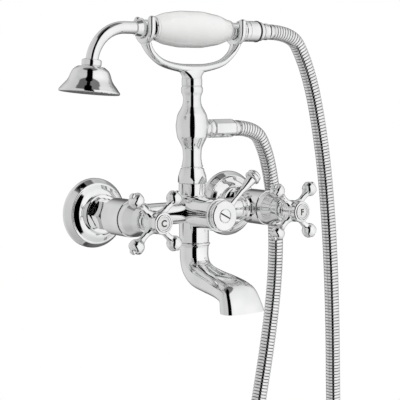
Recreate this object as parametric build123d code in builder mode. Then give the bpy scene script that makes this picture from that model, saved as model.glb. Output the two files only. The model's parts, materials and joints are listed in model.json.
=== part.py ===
from math import asin, cos, degrees, pi, radians, sin, sqrt, tan
import os

from build123d import *

# Wall-mounted bath and shower mixer, in millimetres.
# +X runs from the hot inlet to the cold one, -Y points out of the wall and +Z up.
# The origin lies in the wall face, midway between the two inlets.
# A reach is a distance out of the wall, so a point at reach r has y = -r.

# Places that the whole mixer hangs on
inlet_spacing = 150.0
body_reach = 48.0

# Clearances
running_gap = 0.08
thread_gap = 0.20
seat_gap = 0.30
cut_overrun = 1.0

# Wall flanges
flange_radius = 31.3
flange_depth = 13.0
flange_edge = 3.0
flange_wall = 1.6
flange_edge_round = 7.0
flange_edge_turn = 55.0
flange_neck_radius = 17.2
flange_neck_reach = 18.0
flange_bead = 1.2

# Union connectors that screw into the wall, and their nuts
union_thread_radius = 10.48
union_bore_radius = 7.0
union_wall_depth = 16.0
union_reach = 26.0
union_shoulder_radius = 13.0
union_shoulder_reach = 6.0
union_thread_chamfer = 1.0
union_nut_flats = 24.0
union_nut_start = 20.0
union_nut_lip = 3.7
nut_chamfer_share = 0.06
washer_thickness = 2.0

# Body casting: valve barrels on the inlet axes
barrel_radius = 16.0
barrel_back_reach = 38.0
barrel_front_reach = 65.0
barrel_back_round = 5.0
barrel_bead = 0.8
tail_radius = 8.4
tail_flange_radius = 10.1
tail_flange_length = 3.0
pocket_radius = 10.6
pocket_back_reach = 43.0
crossbar_radius = 9.8
crossbar_bore_radius = 5.0
crossbar_ring_radius = 11.4
crossbar_ring_width = 2.4
crossbar_ring_pitch = 4.2

# Body casting: diverter chamber and the two necks
chamber_radius = 14.2
chamber_front_reach = 84.0
chamber_back_reach = 34.5
chamber_back_round = 6.0
chamber_bore_radius = 9.5
chamber_bore_back = 40.0
top_neck_radius = 12.0
top_neck_height = 26.0
top_neck_flare = 2.0
top_neck_flare_height = 13.5
riser_thread_radius = 10.3
riser_thread_length = 5.0
riser_bore_radius = 6.0
lower_neck_radius = 13.3
lower_neck_drop = 27.0
fall_offset = 2.5
spout_spigot_radius = 9.5
spout_spigot_length = 9.0
fall_bore_radius = 6.5

# Ceramic valves
seal_ring_thickness = 2.0
seal_ring_width = 3.2
disc_radius = 8.8
disc_thickness = 2.4
disc_port_radius = 3.0
disc_port_offset = 4.4
cartridge_cup_wall = 1.4
cartridge_hex_flats = 21.0
cartridge_hex_length = 4.0
cartridge_sleeve_radius = 6.4
cartridge_sleeve_reach = 84.0
cartridge_window_height = 6.0
spindle_radius = 4.0
spindle_head_length = 2.0
spindle_reach = 100.0
spindle_ring_setback = 10.0
spindle_ring_wire = 0.9
spindle_ring_reach = cartridge_sleeve_reach-spindle_ring_setback

# Bonnet shrouds between barrel and handle
shroud_foot_radius = 14.4
shroud_top_radius = 9.6
shroud_reach = 86.0
shroud_wall = 1.5
shroud_round = 20.0
shroud_turn = 22.0
shroud_crown = 2.0

# Cross handles
handle_gap = 0.4
knuckle_radius = 8.5
knuckle_reach = 94.0
knuckle_waist_radius = 7.6
knuckle_step = 1.2
hub_radius = 9.2
hub_front_reach = 111.0
arm_reach = 98.8
arm_count = 4
arm_first_angle = 45.0
ball_circle_radius = 26.6
ball_radius = 6.5
arm_neck_radius = 2.9
arm_flare_radius = 4.4
ball_root_angle = 31.0
ball_crease_angle = 51.0
ball_cap_radius = 2.6
ball_cap_height = 0.9
ball_cap_lip = 0.9
arm_root_share = 0.6
handle_screw_radius = 2.1
handle_screw_head_radius = 3.8
handle_screw_head_height = 3.2
handle_screw_length = 14.0
handle_screw_hex = 2.5
hub_web_reach = 103.0
index_cap_radius = 6.9
index_cap_depth = 3.0
index_cap_groove = 0.6
index_cap_rim = 1.1

# Diverter between spout and handset
gland_reach = 88.0
gland_bead = 0.7
gland_sleeve_back = 70.0
spool_back_gap = 0.5
spool_port_radius = 4.6
spool_groove_depth = 1.2
spool_groove_width = 2.2
spool_groove_reach = 66.0
stem_radius = 4.6
stem_reach = 92.2
lever_hub_radius = 12.35
lever_hub_reach = 95.8
lever_hub_round = 1.4
lever_hub_groove = 0.5
lever_screw_head_radius = 5.75
lever_screw_head_height = 2.2
lever_screw_sunk = 1.3
lever_screw_radius = 2.4
lever_screw_length = 12.0
lever_slot_width = 1.3
lever_slot_depth = 0.9
lever_slot_angle = -28.0
lever_angle = 43.0
lever_reach = 91.6
lever_rod_end = 40.0
lever_root_radius = 3.0
lever_waist_radius = 2.1
lever_waist_share = 0.42
lever_flare_radius = 4.0
lever_tenon_radius = 1.8
lever_tenon_depth = 3.0
knob_ring_radius = 5.0
knob_radius = 6.1
knob_length = 8.0
knob_ring_width = 1.4
knob_groove = 0.7
knob_dome_radius = 7.0

# Spout
spout_collar_radius = 14.4
spout_collar_height = 4.0
spout_neck_radius = 12.9
spout_wall = 2.4
spout_seal_height = 2.0
spout_mouth_drop = 80.2
spout_mouth_reach = 119.6
spout_mouth_half_width = 21.4
spout_mouth_half_depth = 9.8
spout_mouth_corner = 5.5

# Riser column over the body
column_foot_radius = 10.1
column_foot_height = 2.0
column_base_radius = 9.35
column_waist_radius = 8.25
column_waist_height = 50.0
column_bulge_radius = 13.85
column_bulge_rise = 26.0
column_neck_radius = 7.45
column_neck_rise = 26.0
column_bead_radius = 9.6
column_bead_rise = 5.4
column_top_radius = 8.9
column_top_rise = 4.1
column_bulge_height = column_waist_height+column_bulge_rise
column_neck_height = column_bulge_height+column_neck_rise
column_bead_height = column_neck_height+column_bead_rise
column_top_height = column_bead_height+column_top_rise
column_bore_radius = 4.6
column_bore_rise = 12.0
column_bore_top = column_bulge_height+column_bore_rise
column_nut_foot_radius = 13.8
column_nut_top_radius = 10.95
column_nut_flats = 24.4
column_nut_height = 12.5
column_nut_lip = 3.2

# Hose outlet on the bulge
outlet_drop = 2.5
outlet_height = column_bulge_height-outlet_drop
outlet_boss_radius = 6.9
outlet_boss_end = 16.6
outlet_spigot_radius = 5.4
outlet_spigot_length = 7.0
outlet_collar_radius = 8.1
outlet_collar_end = 23.4
outlet_thread_radius = 6.2
outlet_thread_length = 8.0
outlet_bore_radius = 3.6
outlet_nut_flats = 16.4
outlet_nut_end = 45.6
outlet_nut_throat_radius = 5.2

# Cradle that carries the handset
cradle_stem_radius = 9.05
cradle_stem_height = 8.0
cradle_stud_radius = 2.9
cradle_stud_reach = 11.0
cradle_stem_edge = 1.0
cradle_web_rise = 7.0
cradle_web_half_width = 16.5
cradle_web_half_depth = 6.2
hook_offset = 50.0
hook_bar_radius = 3.25
hook_gauge = 10.7
hook_rise = 9.5
handset_rise = 49.5
handset_height = column_top_height+handset_rise
hook_top = handset_height+hook_rise

# Handset: bent neck and rose
neck_radius = 5.3
neck_bore_radius = 3.5
neck_bend_radius = 33.0
neck_bend_reach = 70.7
head_tilt = 6.0
head_collar_radius = 8.25
head_collar_height = 6.6
head_collar_bead = 0.8
rose_radius = 25.6
rose_height = 19.5
rose_shoulder_radius = 11.5
rose_wall = 1.5
rose_rim = 1.3
spray_plate_thickness = 1.2
spray_plate_recess = 0.4
spray_hole_radius = 0.9
spray_ring_pitch = 5.8
spray_ring_counts = (6, 12, 18)

# Handset: handle, ferrules and tail
handle_left_end = 40.0
handle_right_end = 43.0
handle_belly_radius = 16.0
handle_belly_end = 30.0
handle_shoulder_radius = 13.2
handle_left_radius = 9.9
handle_right_radius = 8.7
waterway_radius = 4.6
waterway_bore_radius = 3.4
waterway_left = 47.0
waterway_right = 62.0
ferrule_seat_radius = 7.15
ferrule_flange = 2.4
ferrule_cone_length = 7.0
hook_side_gap = 0.5
tail_flange_end = 60.7
tail_collar_radius = 9.9
tail_thread_radius = 6.9
tail_thread_end = 70.0
hose_nut_radius = 8.9
hose_nut_end = 79.4
hose_nut_throat_radius = 5.6
hose_nut_seat = 72.5
swivel_ring_radius = 9.15
swivel_ring_width = 1.6
hose_sleeve_radius = 6.9
hose_sleeve_end = 92.0
hose_sleeve_collar_radius = 6.6
hose_sleeve_collar_length = 3.0

# Shower hose
hose_radius = 7.0
hose_root_radius = 6.3
hose_bore_radius = 4.2
hose_rib_count = 90
hose_rib_crest_share = 0.5
hose_rib_flank_share = 0.15

hot_x = -inlet_spacing/2
cold_x = inlet_spacing/2
body_y = -body_reach

os.makedirs("parts", exist_ok=True)


def save(builder, name):
    builder.part.label = name
    export_step(builder.part, f"parts/{name}.step")


def reach_section(x):
    # Local x is the radius about an inlet axis and local y the reach out of the wall.
    return Plane(origin=(x, 0, 0), x_dir=(1, 0, 0), z_dir=(0, 0, -1))


def reach_axis(x):
    return Axis((x, 0, 0), (0, -1, 0))


def reach_plane(reach, x=0):
    # Seen from the room: local x to the cold side, local y up, local z out of the wall.
    return Plane(origin=(x, -reach, 0), x_dir=(1, 0, 0), z_dir=(0, -1, 0))


front_section = Plane(origin=(0, body_y, 0), x_dir=(1, 0, 0), z_dir=(0, -1, 0))
column_axis = Axis((0, body_y, 0), (0, 0, 1))
crossbar_axis = Axis((0, body_y, 0), (1, 0, 0))
# The neck for the spout stands a little further from the wall than the column.
fall_y = body_y-fall_offset
fall_section = Plane(origin=(0, fall_y, 0), x_dir=(1, 0, 0), z_dir=(0, -1, 0))
fall_axis = Axis((0, fall_y, 0), (0, 0, 1))
outlet_axis = Axis((0, body_y, outlet_height), (1, 0, 0))
handset_section = Plane(origin=(0, body_y, handset_height), x_dir=(1, 0, 0), z_dir=(0, -1, 0))
handset_axis = Axis((0, body_y, handset_height), (1, 0, 0))
outlet_section = Plane(origin=(0, body_y, outlet_height), x_dir=(1, 0, 0), z_dir=(0, -1, 0))


def turned(plane, axis, points, mode=Mode.ADD):
    # A turned form whose outline has straight sides only.
    with BuildSketch(plane) as outline:
        with BuildLine():
            Polyline(*points, close=True)
        make_face()
    revolve(outline.sketch, axis=axis, mode=mode)


def flow(*points):
    # A side that runs along local y at each of its points: pairs of equal tangent arcs.
    edges = []
    for start, end in zip(points, points[1:]):
        middle = ((start[0]+end[0])/2, (start[1]+end[1])/2)
        first = TangentArc(start, middle, tangent=(0, 1))
        edges.append(first)
        edges.append(TangentArc(middle, end, tangent=first % 1))
    return edges


def flow_along(*points):
    # The same along local x.
    edges = []
    for start, end in zip(points, points[1:]):
        middle = ((start[0]+end[0])/2, (start[1]+end[1])/2)
        first = TangentArc(start, middle, tangent=(1, 0))
        edges.append(first)
        edges.append(TangentArc(middle, end, tangent=first % 1))
    return edges


def tube_between(plane, axis, inner, outer, start, end, mode=Mode.ADD):
    # A plain ring: radii along local x, places along local y.
    turned(plane, axis, [(inner, start), (outer, start), (outer, end), (inner, end)], mode)


def tube_along(plane, axis, inner, outer, start, end, mode=Mode.ADD):
    # The same with places along local x and radii along local y.
    turned(plane, axis, [(start, inner), (start, outer), (end, outer), (end, inner)], mode)


# Wall flanges: hollow pressed domes with a neck that hides the union thread
def make_wall_flange(name, x):
    plane = reach_section(x)
    bore = union_thread_radius+thread_gap
    inner_depth = flange_depth-flange_wall
    inner_edge_radius = flange_edge_round-flange_wall
    with BuildPart() as wall_flange:
        with BuildSketch(plane) as outline:
            with BuildLine():
                edge = JernArc((flange_radius, flange_edge), (0, 1), flange_edge_round, flange_edge_turn)
                dome = TangentArc(edge@1, (flange_neck_radius, flange_depth), tangent=edge % 1)
                neck = Polyline(dome@1, (flange_neck_radius+flange_bead, flange_depth+flange_bead),
                                (flange_neck_radius, flange_depth+2*flange_bead),
                                (flange_neck_radius, flange_neck_reach-flange_bead),
                                (flange_neck_radius-flange_bead, flange_neck_reach),
                                (bore, flange_neck_reach), (bore, inner_depth),
                                (flange_neck_radius, inner_depth))
                inner_edge = JernArc((flange_radius-flange_wall, flange_edge), (0, 1),
                                     inner_edge_radius, flange_edge_turn)
                TangentArc(inner_edge@1, neck@1, tangent=inner_edge % 1)
                Polyline(inner_edge@0, (flange_radius-flange_wall, 0), (flange_radius, 0), edge@0)
            make_face()
        revolve(outline.sketch, axis=reach_axis(x))
    save(wall_flange, name)


# Union connectors: the threaded end past the wall face is what the pipe takes
def make_union_connector(name, x):
    plane = reach_section(x)
    with BuildPart() as union_connector:
        turned(plane, reach_axis(x), [
            (union_bore_radius, -union_wall_depth),
            (union_thread_radius-union_thread_chamfer, -union_wall_depth),
            (union_thread_radius, -union_wall_depth+union_thread_chamfer),
            (union_thread_radius, 0),
            (union_shoulder_radius, 0),
            (union_shoulder_radius, union_shoulder_reach),
            (union_thread_radius, union_shoulder_reach),
            (union_thread_radius, union_reach),
            (union_bore_radius, union_reach)])
    save(union_connector, name)


def hex_blank(plane, flats, length):
    with BuildSketch(plane) as hexagon:
        RegularPolygon(radius=flats/2, side_count=6, major_radius=False)
    extrude(hexagon.sketch, amount=length)


union_washer_end = union_reach+washer_thickness
tail_flange_end_reach = union_washer_end+tail_flange_length
union_nut_end = tail_flange_end_reach+seat_gap+union_nut_lip


def make_union_nut(name, x):
    plane = reach_section(x)
    corner_radius = union_nut_flats/sqrt(3)
    chamfer_drop = nut_chamfer_share*union_nut_flats
    bore = union_thread_radius+thread_gap
    lip_bore = tail_radius+seat_gap
    shoulder = tail_flange_end_reach+seat_gap
    with BuildPart() as union_nut:
        hex_blank(reach_plane(union_nut_start, x), union_nut_flats, union_nut_end-union_nut_start)
        turned(plane, reach_axis(x), [
            (0, union_nut_start), (union_nut_flats/2, union_nut_start),
            (corner_radius, union_nut_start+chamfer_drop),
            (corner_radius, union_nut_end-chamfer_drop),
            (union_nut_flats/2, union_nut_end), (0, union_nut_end)], Mode.INTERSECT)
        turned(plane, reach_axis(x), [
            (0, union_nut_start-cut_overrun), (bore, union_nut_start-cut_overrun),
            (bore, shoulder), (lip_bore, shoulder),
            (lip_bore, union_nut_end+cut_overrun), (0, union_nut_end+cut_overrun)], Mode.SUBTRACT)
    save(union_nut, name)


def make_union_washer(name, x):
    with BuildPart() as union_washer:
        tube_between(reach_section(x), reach_axis(x), union_bore_radius, tail_flange_radius,
                     union_reach, union_washer_end)
    save(union_washer, name)


# Body casting: barrels, crossbar, diverter chamber and necks in one piece of brass
def barrel_outside(x):
    arc_centre = (barrel_radius-barrel_back_round, barrel_back_reach+barrel_back_round)
    bead = barrel_radius-barrel_bead
    with BuildSketch(reach_section(x)) as outline:
        with BuildLine():
            back_round = CenterArc(arc_centre, barrel_back_round, 270, 90)
            Polyline(back_round@1, (barrel_radius, barrel_front_reach-barrel_bead),
                     (bead, barrel_front_reach), (0, barrel_front_reach),
                     (0, union_washer_end), (tail_flange_radius, union_washer_end),
                     (tail_flange_radius, tail_flange_end_reach), (tail_radius, tail_flange_end_reach),
                     (tail_radius, barrel_back_reach), back_round@0)
        make_face()
    revolve(outline.sketch, axis=reach_axis(x))


def crossbar_ring(side, place):
    start = side*place
    end = side*(place+crossbar_ring_width)
    tube_along(front_section, crossbar_axis, 0, crossbar_ring_radius, start, end)


barrel_side = inlet_spacing/2-barrel_radius

with BuildPart() as body_casting:
    for valve_x in (hot_x, cold_x):
        barrel_outside(valve_x)
    tube_along(front_section, crossbar_axis, 0, crossbar_radius, hot_x, cold_x)
    for side in (-1, 1):
        for ring in (0, 1):
            crossbar_ring(side, barrel_side-crossbar_ring_width-ring*crossbar_ring_pitch+cut_overrun)
    with BuildSketch(reach_section(0)):
        with BuildLine():
            chamber_round = CenterArc((chamber_radius-chamber_back_round,
                                       chamber_back_reach+chamber_back_round),
                                      chamber_back_round, 270, 90)
            Polyline(chamber_round@1, (chamber_radius, chamber_front_reach),
                     (0, chamber_front_reach), (0, chamber_back_reach), chamber_round@0)
        make_face()
    revolve(axis=reach_axis(0))
    turned(front_section, column_axis, [
        (0, 0), (top_neck_radius, 0), (top_neck_radius, top_neck_flare_height-top_neck_flare),
        (top_neck_radius+top_neck_flare, top_neck_flare_height),
        (top_neck_radius, top_neck_flare_height+top_neck_flare),
        (top_neck_radius, top_neck_height-seat_gap),
        (riser_thread_radius, top_neck_height-seat_gap),
        (riser_thread_radius, top_neck_height+riser_thread_length),
        (0, top_neck_height+riser_thread_length)])
    turned(fall_section, fall_axis, [
        (0, 0), (lower_neck_radius, 0), (lower_neck_radius, -lower_neck_drop),
        (spout_spigot_radius, -lower_neck_drop),
        (spout_spigot_radius, -lower_neck_drop-spout_spigot_length),
        (0, -lower_neck_drop-spout_spigot_length)])
    for valve_x in (hot_x, cold_x):
        turned(reach_section(valve_x), reach_axis(valve_x), [
            (0, union_washer_end-cut_overrun), (union_bore_radius, union_washer_end-cut_overrun),
            (union_bore_radius, pocket_back_reach), (pocket_radius, pocket_back_reach),
            (pocket_radius, barrel_front_reach+cut_overrun), (0, barrel_front_reach+cut_overrun)],
            Mode.SUBTRACT)
    tube_along(front_section, crossbar_axis, 0, crossbar_bore_radius,
               hot_x+pocket_radius/2, cold_x-pocket_radius/2, Mode.SUBTRACT)
    tube_between(reach_section(0), reach_axis(0), 0, chamber_bore_radius,
                 chamber_bore_back, chamber_front_reach+cut_overrun, Mode.SUBTRACT)
    tube_between(front_section, column_axis, 0, riser_bore_radius,
                 0, top_neck_height+riser_thread_length+cut_overrun, Mode.SUBTRACT)
    tube_between(fall_section, fall_axis, 0, fall_bore_radius,
                 -lower_neck_drop-spout_spigot_length-cut_overrun, 0, Mode.SUBTRACT)
save(body_casting, "body_casting")


# Ceramic valves: seat seal, fixed disc, turning disc, cartridge and spindle
seat_disc_back = pocket_back_reach+seal_ring_thickness
turning_disc_back = seat_disc_back+disc_thickness
spindle_back = turning_disc_back+disc_thickness
cup_radius = pocket_radius-running_gap
cup_bore_radius = cup_radius-cartridge_cup_wall
cup_floor_reach = spindle_back+spindle_head_length+seat_gap
cartridge_flange_reach = barrel_front_reach+cartridge_hex_length


def make_seat_seal(name, x):
    outer = cup_bore_radius-running_gap
    with BuildPart() as seat_seal:
        tube_between(reach_section(x), reach_axis(x), outer-seal_ring_width, outer,
                     pocket_back_reach, seat_disc_back)
    save(seat_seal, name)


def make_disc(name, x, back):
    # Two ports half a turn apart; a quarter turn of one disc shuts them.
    with BuildPart() as ceramic_disc:
        with BuildSketch(reach_plane(back, x)):
            Circle(disc_radius)
            with Locations((disc_port_offset, 0), (-disc_port_offset, 0)):
                Circle(disc_port_radius, mode=Mode.SUBTRACT)
        extrude(amount=disc_thickness)
    save(ceramic_disc, name)


def make_cartridge(name, x):
    plane = reach_section(x)
    sleeve_bore = spindle_radius+running_gap
    with BuildPart() as valve_cartridge:
        turned(plane, reach_axis(x), [
            (cup_bore_radius, pocket_back_reach), (cup_radius, pocket_back_reach),
            (cup_radius, barrel_front_reach), (cartridge_sleeve_radius, barrel_front_reach),
            (cartridge_sleeve_radius, cartridge_sleeve_reach), (sleeve_bore, cartridge_sleeve_reach),
            (sleeve_bore, cup_floor_reach), (cup_bore_radius, cup_floor_reach)])
        hex_blank(reach_plane(barrel_front_reach, x), cartridge_hex_flats, cartridge_hex_length)
        tube_between(plane, reach_axis(x), 0, sleeve_bore, barrel_front_reach-cut_overrun,
                     cartridge_flange_reach+cut_overrun, Mode.SUBTRACT)
        tube_between(plane, reach_axis(x), 0, spindle_radius+spindle_ring_wire,
                     spindle_ring_reach-spindle_ring_wire, spindle_ring_reach+spindle_ring_wire,
                     Mode.SUBTRACT)
        with BuildSketch(Plane.YZ.offset(x-cup_radius-cut_overrun)):
            with Locations((-(spindle_back+cup_floor_reach)/2, 0)):
                Rectangle(spindle_head_length, cartridge_window_height)
        extrude(amount=2*(cup_radius+cut_overrun), mode=Mode.SUBTRACT)
    save(valve_cartridge, name)


def make_spindle(name, x):
    plane = reach_section(x)
    with BuildPart() as spindle:
        turned(plane, reach_axis(x), [
            (0, spindle_back), (disc_radius, spindle_back),
            (disc_radius, spindle_back+spindle_head_length),
            (spindle_radius, spindle_back+spindle_head_length),
            (spindle_radius, spindle_reach), (0, spindle_reach)])
        tube_between(plane, reach_axis(x), 0, handle_screw_radius,
                     spindle_reach-handle_screw_length, spindle_reach+cut_overrun, Mode.SUBTRACT)
    save(spindle, name)


def make_spindle_seal(name, x):
    with BuildPart() as spindle_seal:
        tube_between(reach_section(x), reach_axis(x), spindle_radius+running_gap,
                     spindle_radius+spindle_ring_wire-running_gap/2,
                     spindle_ring_reach-spindle_ring_wire+running_gap,
                     spindle_ring_reach+spindle_ring_wire-running_gap)
    save(spindle_seal, name)


# Bonnet shrouds: thin bells that hide the cartridge neck
def make_shroud(name, x):
    plane = reach_section(x)
    foot = barrel_front_reach
    length = shroud_reach-foot
    inner_foot = shroud_foot_radius-shroud_wall
    with BuildPart() as bonnet_shroud:
        with BuildSketch(plane):
            with BuildLine():
                shoulder = JernArc((shroud_foot_radius, foot+length/6), (0, 1),
                                   shroud_round, shroud_turn)
                taper = TangentArc(shoulder@1, (shroud_top_radius, shroud_reach),
                                   tangent=shoulder % 1)
                top = Polyline(taper@1, (cartridge_sleeve_radius+thread_gap, shroud_reach),
                               (cartridge_sleeve_radius+thread_gap, shroud_reach-shroud_crown),
                               (shroud_top_radius-shroud_wall, shroud_reach-shroud_crown),
                               (inner_foot, foot+length/3), (inner_foot, foot))
                Polyline(top@1, (shroud_foot_radius, foot), shoulder@0)
            make_face()
        revolve(axis=reach_axis(x))
    save(bonnet_shroud, name)


# Cross handles: a turned hub with four turned arms ending in capped balls
hub_back_reach = shroud_reach+handle_gap
index_recess_reach = hub_front_reach-index_cap_depth
screw_seat_reach = hub_web_reach


def turn_arm(x, out):
    # Local x runs out from the hub axis and local y is the arm's own radius.
    root = hub_radius*arm_root_share
    root_angle = radians(ball_root_angle)
    crease_angle = radians(ball_crease_angle)
    ball_start = (ball_circle_radius-ball_radius*cos(root_angle), ball_radius*sin(root_angle))
    waist = ((hub_radius+ball_start[0])/2, arm_neck_radius)
    cap_place = ball_circle_radius+ball_radius*cos(crease_angle)+ball_cap_height
    origin = (x, -arm_reach, 0)
    with BuildSketch(Plane(origin=origin, x_dir=out, z_dir=(-out[2], 0, out[0]))) as outline:
        with BuildLine():
            stalk = ThreePointArc((root, arm_flare_radius), waist, ball_start)
            ball = CenterArc((ball_circle_radius, 0), ball_radius, 180-ball_root_angle,
                             ball_root_angle+ball_crease_angle-180)
            cap = CenterArc((cap_place, 0), ball_cap_radius, 90, -90)
            Polyline(ball@1, (cap_place-ball_cap_height, ball_cap_radius+ball_cap_lip), cap@0)
            Polyline(cap@1, (root, 0), stalk@0)
        make_face()
    revolve(outline.sketch, axis=Axis(origin, out))


def make_cross_handle(name, x):
    plane = reach_section(x)
    spindle_bore = spindle_radius+running_gap
    screw_bore = handle_screw_radius+thread_gap
    head_bore = handle_screw_head_radius+thread_gap
    with BuildPart() as cross_handle:
        turned(plane, reach_axis(x), [
            (0, hub_back_reach), (knuckle_radius, hub_back_reach),
            (knuckle_radius, knuckle_reach-3*knuckle_step),
            (knuckle_waist_radius, knuckle_reach-2*knuckle_step),
            (knuckle_waist_radius, knuckle_reach-knuckle_step),
            (hub_radius, knuckle_reach), (hub_radius, hub_front_reach-index_cap_rim),
            (hub_radius-index_cap_rim, hub_front_reach), (0, hub_front_reach)])
        for arm in range(arm_count):
            angle = arm_first_angle+360*arm/arm_count
            turn_arm(x, (cos(radians(angle)), 0, sin(radians(angle))))
        turned(plane, reach_axis(x), [
            (0, hub_back_reach-cut_overrun), (spindle_bore, hub_back_reach-cut_overrun),
            (spindle_bore, spindle_reach+seat_gap), (screw_bore, spindle_reach+seat_gap),
            (screw_bore, screw_seat_reach), (head_bore, screw_seat_reach),
            (head_bore, index_recess_reach), (index_cap_radius+thread_gap, index_recess_reach),
            (index_cap_radius+thread_gap, hub_front_reach+cut_overrun),
            (0, hub_front_reach+cut_overrun)], Mode.SUBTRACT)
    save(cross_handle, name)


def make_handle_screw(name, x):
    plane = reach_section(x)
    shank_back = screw_seat_reach-handle_screw_length
    with BuildPart() as handle_screw:
        turned(plane, reach_axis(x), [
            (0, shank_back), (handle_screw_radius-running_gap, shank_back),
            (handle_screw_radius-running_gap, screw_seat_reach),
            (handle_screw_head_radius, screw_seat_reach),
            (handle_screw_head_radius, screw_seat_reach+handle_screw_head_height),
            (0, screw_seat_reach+handle_screw_head_height)])
        with BuildSketch(reach_plane(screw_seat_reach+handle_screw_head_height, x)):
            RegularPolygon(radius=handle_screw_hex/2, side_count=6, major_radius=False)
        extrude(amount=-handle_screw_head_height/2, mode=Mode.SUBTRACT)
    save(handle_screw, name)


def make_index_cap(name, x):
    plane = reach_section(x)
    front = hub_front_reach
    groove_inner = index_cap_radius-index_cap_rim-index_cap_groove
    with BuildPart() as index_cap:
        turned(plane, reach_axis(x), [
            (0, index_recess_reach), (index_cap_radius, index_recess_reach),
            (index_cap_radius, front+index_cap_groove/2),
            (index_cap_radius-index_cap_rim, front+index_cap_groove/2),
            (index_cap_radius-index_cap_rim, front-index_cap_groove),
            (groove_inner, front-index_cap_groove), (groove_inner, front), (0, front)])
    save(index_cap, name)


for prefix, valve_x in (("hot", hot_x), ("cold", cold_x)):
    make_wall_flange(f"{prefix}_wall_flange", valve_x)
    make_union_connector(f"{prefix}_union_connector", valve_x)
    make_union_nut(f"{prefix}_union_nut", valve_x)
    make_union_washer(f"{prefix}_union_washer", valve_x)
    make_seat_seal(f"{prefix}_seat_seal", valve_x)
    make_disc(f"{prefix}_ceramic_seat_disc", valve_x, seat_disc_back)
    make_disc(f"{prefix}_ceramic_turning_disc", valve_x, turning_disc_back)
    make_cartridge(f"{prefix}_valve_cartridge", valve_x)
    make_spindle(f"{prefix}_spindle", valve_x)
    make_spindle_seal(f"{prefix}_spindle_seal", valve_x)
    make_shroud(f"{prefix}_bonnet_shroud", valve_x)
    make_cross_handle(f"{prefix}_cross_handle", valve_x)
    make_handle_screw(f"{prefix}_handle_screw", valve_x)
    make_index_cap(f"{prefix}_index_cap", valve_x)


# Diverter: gland, spool with its stem, and the lever
diverter_section = reach_section(0)
diverter_axis = reach_axis(0)
spool_radius = chamber_bore_radius-running_gap
spool_back = chamber_bore_back+spool_back_gap
spool_front = gland_sleeve_back-seat_gap
stem_bore = stem_radius+running_gap
hub_back = gland_reach+handle_gap

with BuildPart() as diverter_gland:
    turned(diverter_section, diverter_axis, [
        (stem_bore, gland_sleeve_back), (chamber_bore_radius-running_gap, gland_sleeve_back),
        (chamber_bore_radius-running_gap, chamber_front_reach),
        (chamber_radius+gland_bead, chamber_front_reach),
        (chamber_radius+gland_bead, chamber_front_reach+2*gland_bead),
        (chamber_radius-gland_bead, chamber_front_reach+3*gland_bead),
        (chamber_radius, chamber_front_reach+4*gland_bead),
        (chamber_radius, gland_reach-gland_bead), (chamber_radius-gland_bead, gland_reach),
        (stem_bore, gland_reach)])
save(diverter_gland, "diverter_gland")

with BuildPart() as diverter_spool:
    turned(diverter_section, diverter_axis, [
        (0, spool_back), (spool_radius, spool_back),
        (spool_radius, spool_groove_reach-spool_groove_width/2),
        (spool_radius-spool_groove_depth, spool_groove_reach-spool_groove_width/2),
        (spool_radius-spool_groove_depth, spool_groove_reach+spool_groove_width/2),
        (spool_radius, spool_groove_reach+spool_groove_width/2),
        (spool_radius, spool_front), (stem_radius, spool_front),
        (stem_radius, stem_reach), (0, stem_reach)])
    tube_between(front_section, column_axis, 0, spool_port_radius,
                 -chamber_radius, 0, Mode.SUBTRACT)
    tube_along(front_section, crossbar_axis, 0, spool_port_radius,
               -chamber_radius, chamber_radius, Mode.SUBTRACT)
    tube_between(diverter_section, diverter_axis, 0, lever_screw_radius+running_gap,
                 stem_reach-lever_screw_length, stem_reach+cut_overrun, Mode.SUBTRACT)
save(diverter_spool, "diverter_spool")

with BuildPart() as diverter_seal:
    tube_between(diverter_section, diverter_axis, spool_radius-spool_groove_depth+running_gap/2,
                 spool_radius-running_gap/2, spool_groove_reach-spool_groove_width/2+running_gap,
                 spool_groove_reach+spool_groove_width/2-running_gap)
save(diverter_seal, "diverter_seal")

screw_seat = lever_hub_reach-lever_screw_sunk
lever_out = (cos(radians(lever_angle)), 0, sin(radians(lever_angle)))
lever_section = Plane(origin=(0, -lever_reach, 0), x_dir=lever_out,
                      z_dir=(-lever_out[2], 0, lever_out[0]))
lever_axis = Axis((0, -lever_reach, 0), lever_out)

with BuildPart() as lever_hub:
    turned(diverter_section, diverter_axis, [
        (0, hub_back), (lever_hub_radius-lever_hub_round, hub_back),
        (lever_hub_radius, hub_back+lever_hub_round),
        (lever_hub_radius, lever_hub_reach-lever_hub_round/2),
        (lever_hub_radius-lever_hub_round/2, lever_hub_reach),
        (lever_hub_radius-lever_hub_round, lever_hub_reach),
        (lever_hub_radius-lever_hub_round-lever_hub_groove, lever_hub_reach-lever_hub_groove),
        (lever_hub_radius-lever_hub_round-2*lever_hub_groove, lever_hub_reach),
        (0, lever_hub_reach)])
    turned(diverter_section, diverter_axis, [
        (0, hub_back-cut_overrun), (stem_bore, hub_back-cut_overrun),
        (stem_bore, stem_reach+seat_gap), (lever_screw_radius+thread_gap, stem_reach+seat_gap),
        (lever_screw_radius+thread_gap, screw_seat),
        (lever_screw_head_radius+thread_gap, screw_seat),
        (lever_screw_head_radius+thread_gap, lever_hub_reach+cut_overrun),
        (0, lever_hub_reach+cut_overrun)], Mode.SUBTRACT)
    tube_along(lever_section, lever_axis, 0, lever_tenon_radius+running_gap,
               lever_hub_radius-lever_tenon_depth-seat_gap, lever_hub_radius+cut_overrun,
               Mode.SUBTRACT)
save(lever_hub, "lever_hub")

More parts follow.
